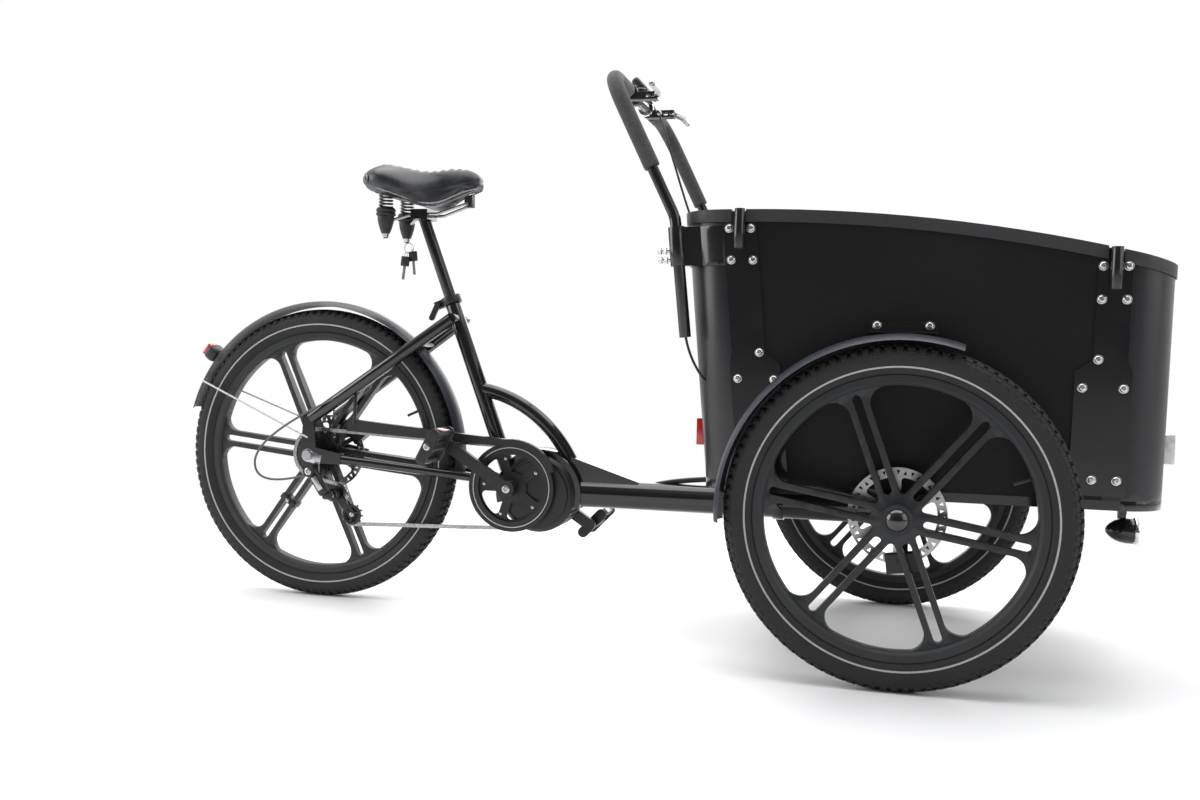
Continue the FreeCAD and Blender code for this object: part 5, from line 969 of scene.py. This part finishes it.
def control_cluster():
    # Lever clamps, bell and shifter from the node's shells, with a tilted display of its own.
    cluster = bmesh.new()
    for shell in islands("bar_controls"):
        centre, _ = middle_of(shell)
        if abs(centre.y) < OLD_DISPLAY_REACH:
            shell.free()
            continue
        bell = abs(centre.y - BELL_SIDE) < BELL_REACH
        for face in shell.faces:
            face.material_index = 1 if bell else 2 if abs(centre.y) > CLAMPS_FROM else 0
        place_in(cluster, eased(shell, 0.8))
    tilt = Matrix.Translation(at(*DISPLAY)) @ Matrix.Rotation(DISPLAY_TILT, 4, "Y")
    place_in(cluster, soft_block((18, 66, 40), 7, 4), tilt)
    place_in(cluster, soft_block((26, 24, 16), 4, 3), Matrix.Translation(at(*DISPLAY_FOOT)))
    piece("bar_cluster", cluster, [black_plastic, chrome_ring, satin_black], "bar",
          ["bar_controls"])
    glass = bmesh.new()
    pane = soft_block((1.6, 52, 29), 0.7, 2)
    place_in(glass, pane, tilt @ Matrix.Translation(mm(-9.1, 0, 1)))
    piece("display_glass", glass, screen_glass, "bar")


def cluster_bright_parts():
    # The levers' cable barrels, and the screws of the clamps.
    bright = bmesh.new()
    barrel = turned_profile([(0, 0), (0, 5.5), (5, 5.5), (5.6, 4.6), (6.4, 4.6), (7, 5.2), (12, 5),
                             (13, 3.6), (18, 3.4), (18.6, 0)], 24)
    screw = turned_profile([(0, 0), (0, 4.6), (2, 4.4), (2.6, 3), (2.6, 1.8), (1.4, 1.6),
                            (1.4, 0)], 20)
    for side in (-1, 1):
        clamp = side * CLAMP_SIDE
        for part, way, spot in ((barrel, -ACROSS * side, at(764, side * 81, BAR_HEIGHT)),
                                (screw, UPWARD, at(787, clamp, CLAMP_SCREW_HEIGHT)),
                                (screw, -FORWARD, at(720.5, clamp, CLAMP_SCREW_HEIGHT))):
            place_in(bright, part, facing(way, spot), keep=True)
    place_in(bright, screw, facing(UPWARD, at(737, SHIFTER_SIDE, 1135.6)), keep=True)
    barrel.free()
    screw.free()
    piece("cluster_bright_parts", bright, bright_steel, "bar")


def thumb_shifter():
    thumb = bmesh.new()
    paddle = Matrix.Translation(at(762, SHIFTER_SIDE, BAR_HEIGHT)) @ Matrix.Rotation(0.5, 4, "Y")
    place_in(thumb, soft_block((34, 12, 6), 2.6, 3), paddle)
    dial = turned_profile([(0, 0), (0, 14), (6, 15.5), (11, 14.5), (13, 11), (13.5, 0)], 36)
    place_in(thumb, dial, facing(UPWARD, at(752, SHIFTER_SIDE, 1118)))
    piece("thumb_shifter", thumb, black_plastic, "bar")


def lever_end(name, body, side):
    end = bmesh.new()
    ball = turned_profile([(0, 0), (0, 2.8), (2.4, 3.4), (4, 5.2), (7, 6.3), (10, 5.6), (12, 3.4),
                           (12.8, 0)], 28)
    place_in(end, ball, facing(ACROSS * side, at(805, side * 194, BAR_HEIGHT)))
    piece(name, end, bright_steel, body)


control_cluster()
cluster_bright_parts()
thumb_shifter()
lever_end("lever_end_right", "right_lever", -1)
lever_end("lever_end_left", "left_lever", 1)


# Calipers and pedals

CALIPER_SIZE, LENS_SIZE = 0.05, 0.06   # metres: caliper shells are larger, lenses smaller


def caliper_knobs():
    # A copper-toned adjuster on the inner face of each front caliper.
    bm = bmesh.new()
    for shell in islands("front_calipers"):
        centre, size = middle_of(shell)
        shell.free()
        if size.length < CALIPER_SIZE:
            continue
        way = 1 if centre.y > 0 else -1
        knob = turned_profile([(-1, 0), (-1, 8.4), (2, 8.6), (3, 7.6), (5, 7.4), (5.6, 5),
                               (5.6, 0)], 24)
        place_in(bm, knob, facing(-ACROSS * way, centre - ACROSS * (way * size.y / 2)))
    piece("caliper_knobs", bm, copper_tone, "front_carriage")


def pedal_lens(centre, size):
    return 1 if size.length < LENS_SIZE else 0


caliper_knobs()
for side in ("right", "left"):
    dressed(side + "_pedal_dressed", "pedal_" + side, side + "_pedal",
            [black_plastic, amber_lens], pedal_lens, 0.7)


# Finishes of the nodes that keep their shape, with the width that rounds their edges
for made, edges in (
    (gloss_black, {"main_tube": 1.2, "seat_tube": 0.6, "arch_tube": 0.5, "chainstays": 0.8,
                   "seatstays": 0.6, "seat_post": 0.5, "corner_plates": 0.7, "bar_clamps": 1.0,
                   "carriage": 1.2, "handlebar": 0.4}),
    (satin_black, {"seat_clamp": 0.6, "seat_lever": 1.2, "crank_arms": 1.6,
                   "derailleur_body": 1.4, "derailleur_cage": 0.5, "chain_guard": 0.8,
                   "rear_caliper": 1.2, "front_calipers": 1.2}),
    (black_plastic, {"chainring": 0.3, "guide_pulley": 0.2, "tension_pulley": 0.2, "battery": 0}),
    (bright_steel, {"rear_axle": 0.8, "brake_lever_right": 1.4, "brake_lever_left": 1.4,
                    "saddle_frame": 0}),
    (cast_charcoal, {"rear_wheel": 1.6, "front_wheel_right": 1.6, "front_wheel_left": 1.6}),
    (disc_steel, {"rear_disc": 0, "front_disc_right": 0, "front_disc_left": 0}),
    (dark_dome, {"front_hub_right": 0, "front_hub_left": 0}),
    (bent_laminate, {"box_rear_panel": 0.8, "box_front_panel": 0.8}),
    (board_film, {"box_sides": 0.8, "box_floor": 0.6}),
    (edge_profile, {"rim_trim": 1.0}),
    (motor_casting, {"motor": 1.0}),
    (chain_steel, {"chain": 0}),
    (cog_steel, {"cassette": 0}),
):
    for node, edge in edges.items():
        own_finish(node, made, edge)


# Floor, light and camera

FLOOR_HALF = 30
FADE_FROM, FADE_TO = 1.1, 2.0   # metres from the middle of the floor
VIEW_YAW, VIEW_PITCH, VIEW_ROLL = 14.433, 2.456, 1.267   # degrees
VIEW_FROM = (1282.2, -2407.9, 582.5)
FOCUS_PIXELS, IMAGE_PIXELS, SENSOR = 1140.37, 1200, 36


def floor():
    # A pale floor that keeps the shadow and runs out into white.
    bm = bmesh.new()
    bmesh.ops.create_grid(bm, x_segments=1, y_segments=1, size=FLOOR_HALF)
    mesh = bpy.data.meshes.new("floor")
    bm.to_mesh(mesh)
    bm.free()
    ground = bpy.data.objects.new("floor", mesh)
    scene.collection.objects.link(ground)
    pale = bpy.data.materials.new("pale_floor")
    pale.use_nodes = True
    tree = pale.node_tree
    link = tree.links.new
    shader = tree.nodes["Principled BSDF"]
    shader.inputs["Base Color"].default_value = (0.88, 0.88, 0.885, 1)
    shader.inputs["Roughness"].default_value = 0.5
    shader.inputs["Specular IOR Level"].default_value = 0.3
    white = shader_node(tree, "Emission", {"Color": (1, 1, 1, 1)})
    place = shader_node(tree, "TexCoord")
    away = shader_node(tree, "VectorMath", operation="LENGTH")
    fade = shader_node(tree, "MapRange", {"From Min": FADE_FROM, "From Max": FADE_TO},
                       interpolation_type="SMOOTHSTEP")
    path = shader_node(tree, "LightPath")
    seen = shader_node(tree, "Math", operation="MULTIPLY")
    mix = shader_node(tree, "MixShader")
    link(place.outputs["Object"], away.inputs[0])
    link(away.outputs["Value"], fade.inputs["Value"])
    link(path.outputs["Is Camera Ray"], seen.inputs[0])
    link(fade.outputs["Result"], seen.inputs[1])
    link(seen.outputs["Value"], mix.inputs["Fac"])
    link(shader.outputs["BSDF"], mix.inputs[1])
    link(white.outputs["Emission"], mix.inputs[2])
    link(mix.outputs["Shader"], tree.nodes["Material Output"].inputs["Surface"])
    mesh.materials.append(pale)


def studio():
    # White behind the object, in reflections of the far half too. As a light, the room is dim on
    # the near side and bright on the far side.
    world = bpy.data.worlds.new("studio")
    scene.world = world
    world.use_nodes = True
    tree = world.node_tree
    tree.nodes.clear()
    link = tree.links.new
    out = shader_node(tree, "OutputWorld")
    seen = shader_node(tree, "Background", {"Color": (1, 1, 1, 1)})
    lit = shader_node(tree, "Background", {"Color": (0.97, 0.98, 1, 1)})
    place = shader_node(tree, "TexCoord")
    parts = shader_node(tree, "SeparateXYZ")
    level = shader_node(tree, "MapRange", {"From Min": -0.95, "From Max": 0.3, "To Min": 0.1,
                                           "To Max": 0.85}, interpolation_type="SMOOTHSTEP")
    path = shader_node(tree, "LightPath")
    either = shader_node(tree, "Math", operation="MAXIMUM")
    behind = shader_node(tree, "MapRange", {"From Min": 0.05, "From Max": 0.4},
                         interpolation_type="SMOOTHSTEP")
    mirrored = shader_node(tree, "Math", operation="MULTIPLY_ADD", use_clamp=True)
    mix = shader_node(tree, "MixShader")
    link(place.outputs["Generated"], parts.inputs["Vector"])
    link(parts.outputs["Y"], level.inputs["Value"])
    link(level.outputs["Result"], lit.inputs["Strength"])
    link(path.outputs["Is Camera Ray"], either.inputs[0])
    link(path.outputs["Is Transmission Ray"], either.inputs[1])
    link(parts.outputs["Y"], behind.inputs["Value"])
    link(path.outputs["Is Glossy Ray"], mirrored.inputs[0])
    link(behind.outputs["Result"], mirrored.inputs[1])
    link(either.outputs["Value"], mirrored.inputs[2])
    link(mirrored.outputs["Value"], mix.inputs["Fac"])
    link(lit.outputs["Background"], mix.inputs[1])
    link(seen.outputs["Background"], mix.inputs[2])
    link(mix.outputs["Shader"], out.inputs["Surface"])


def soft_light(name, spot, target, size, power):
    data = bpy.data.lights.new(name, "AREA")
    data.shape = "RECTANGLE"
    data.size, data.size_y = size
    data.energy = power
    lamp = bpy.data.objects.new(name, data)
    lamp.location = spot
    lamp.rotation_euler = (Vector(target) - Vector(spot)).to_track_quat("-Z", "Y").to_euler()
    scene.collection.objects.link(lamp)


def camera():
    # The photograph's viewing angle.
    yaw, pitch, roll = [math.radians(a) for a in (VIEW_YAW, VIEW_PITCH, VIEW_ROLL)]
    ahead = Vector((-math.sin(yaw) * math.cos(pitch), math.cos(yaw) * math.cos(pitch),
                    -math.sin(pitch)))
    right = Vector((math.cos(yaw), math.sin(yaw), 0))
    up = right.cross(ahead)
    across = right * math.cos(roll) + up * math.sin(roll)
    rise = up * math.cos(roll) - right * math.sin(roll)
    data = bpy.data.cameras.new("camera")
    data.sensor_width = SENSOR
    data.lens = FOCUS_PIXELS / IMAGE_PIXELS * SENSOR
    data.clip_end = 100
    eye = bpy.data.objects.new("camera", data)
    turn = Matrix((across, rise, -ahead)).transposed().to_4x4()
    eye.matrix_world = Matrix.Translation(at(*VIEW_FROM)) @ turn
    scene.collection.objects.link(eye)
    scene.camera = eye


floor()
studio()
soft_light("overhead", (0.1, 0.2, 3.4), (0.1, 0, 0.3), (4.5, 3.5), 150)
soft_light("rear_side", (-3.6, -1.2, 1.7), (0, 0, 0.5), (2.4, 2.6), 70)
soft_light("front_side", (3.6, -1.6, 1.9), (0.3, 0, 0.5), (2.4, 2.6), 26)
soft_light("far_side", (0, 3.6, 2.2), (0, 0, 0.5), (4, 2.5), 80)
camera()
scene.view_settings.view_transform = "Standard"
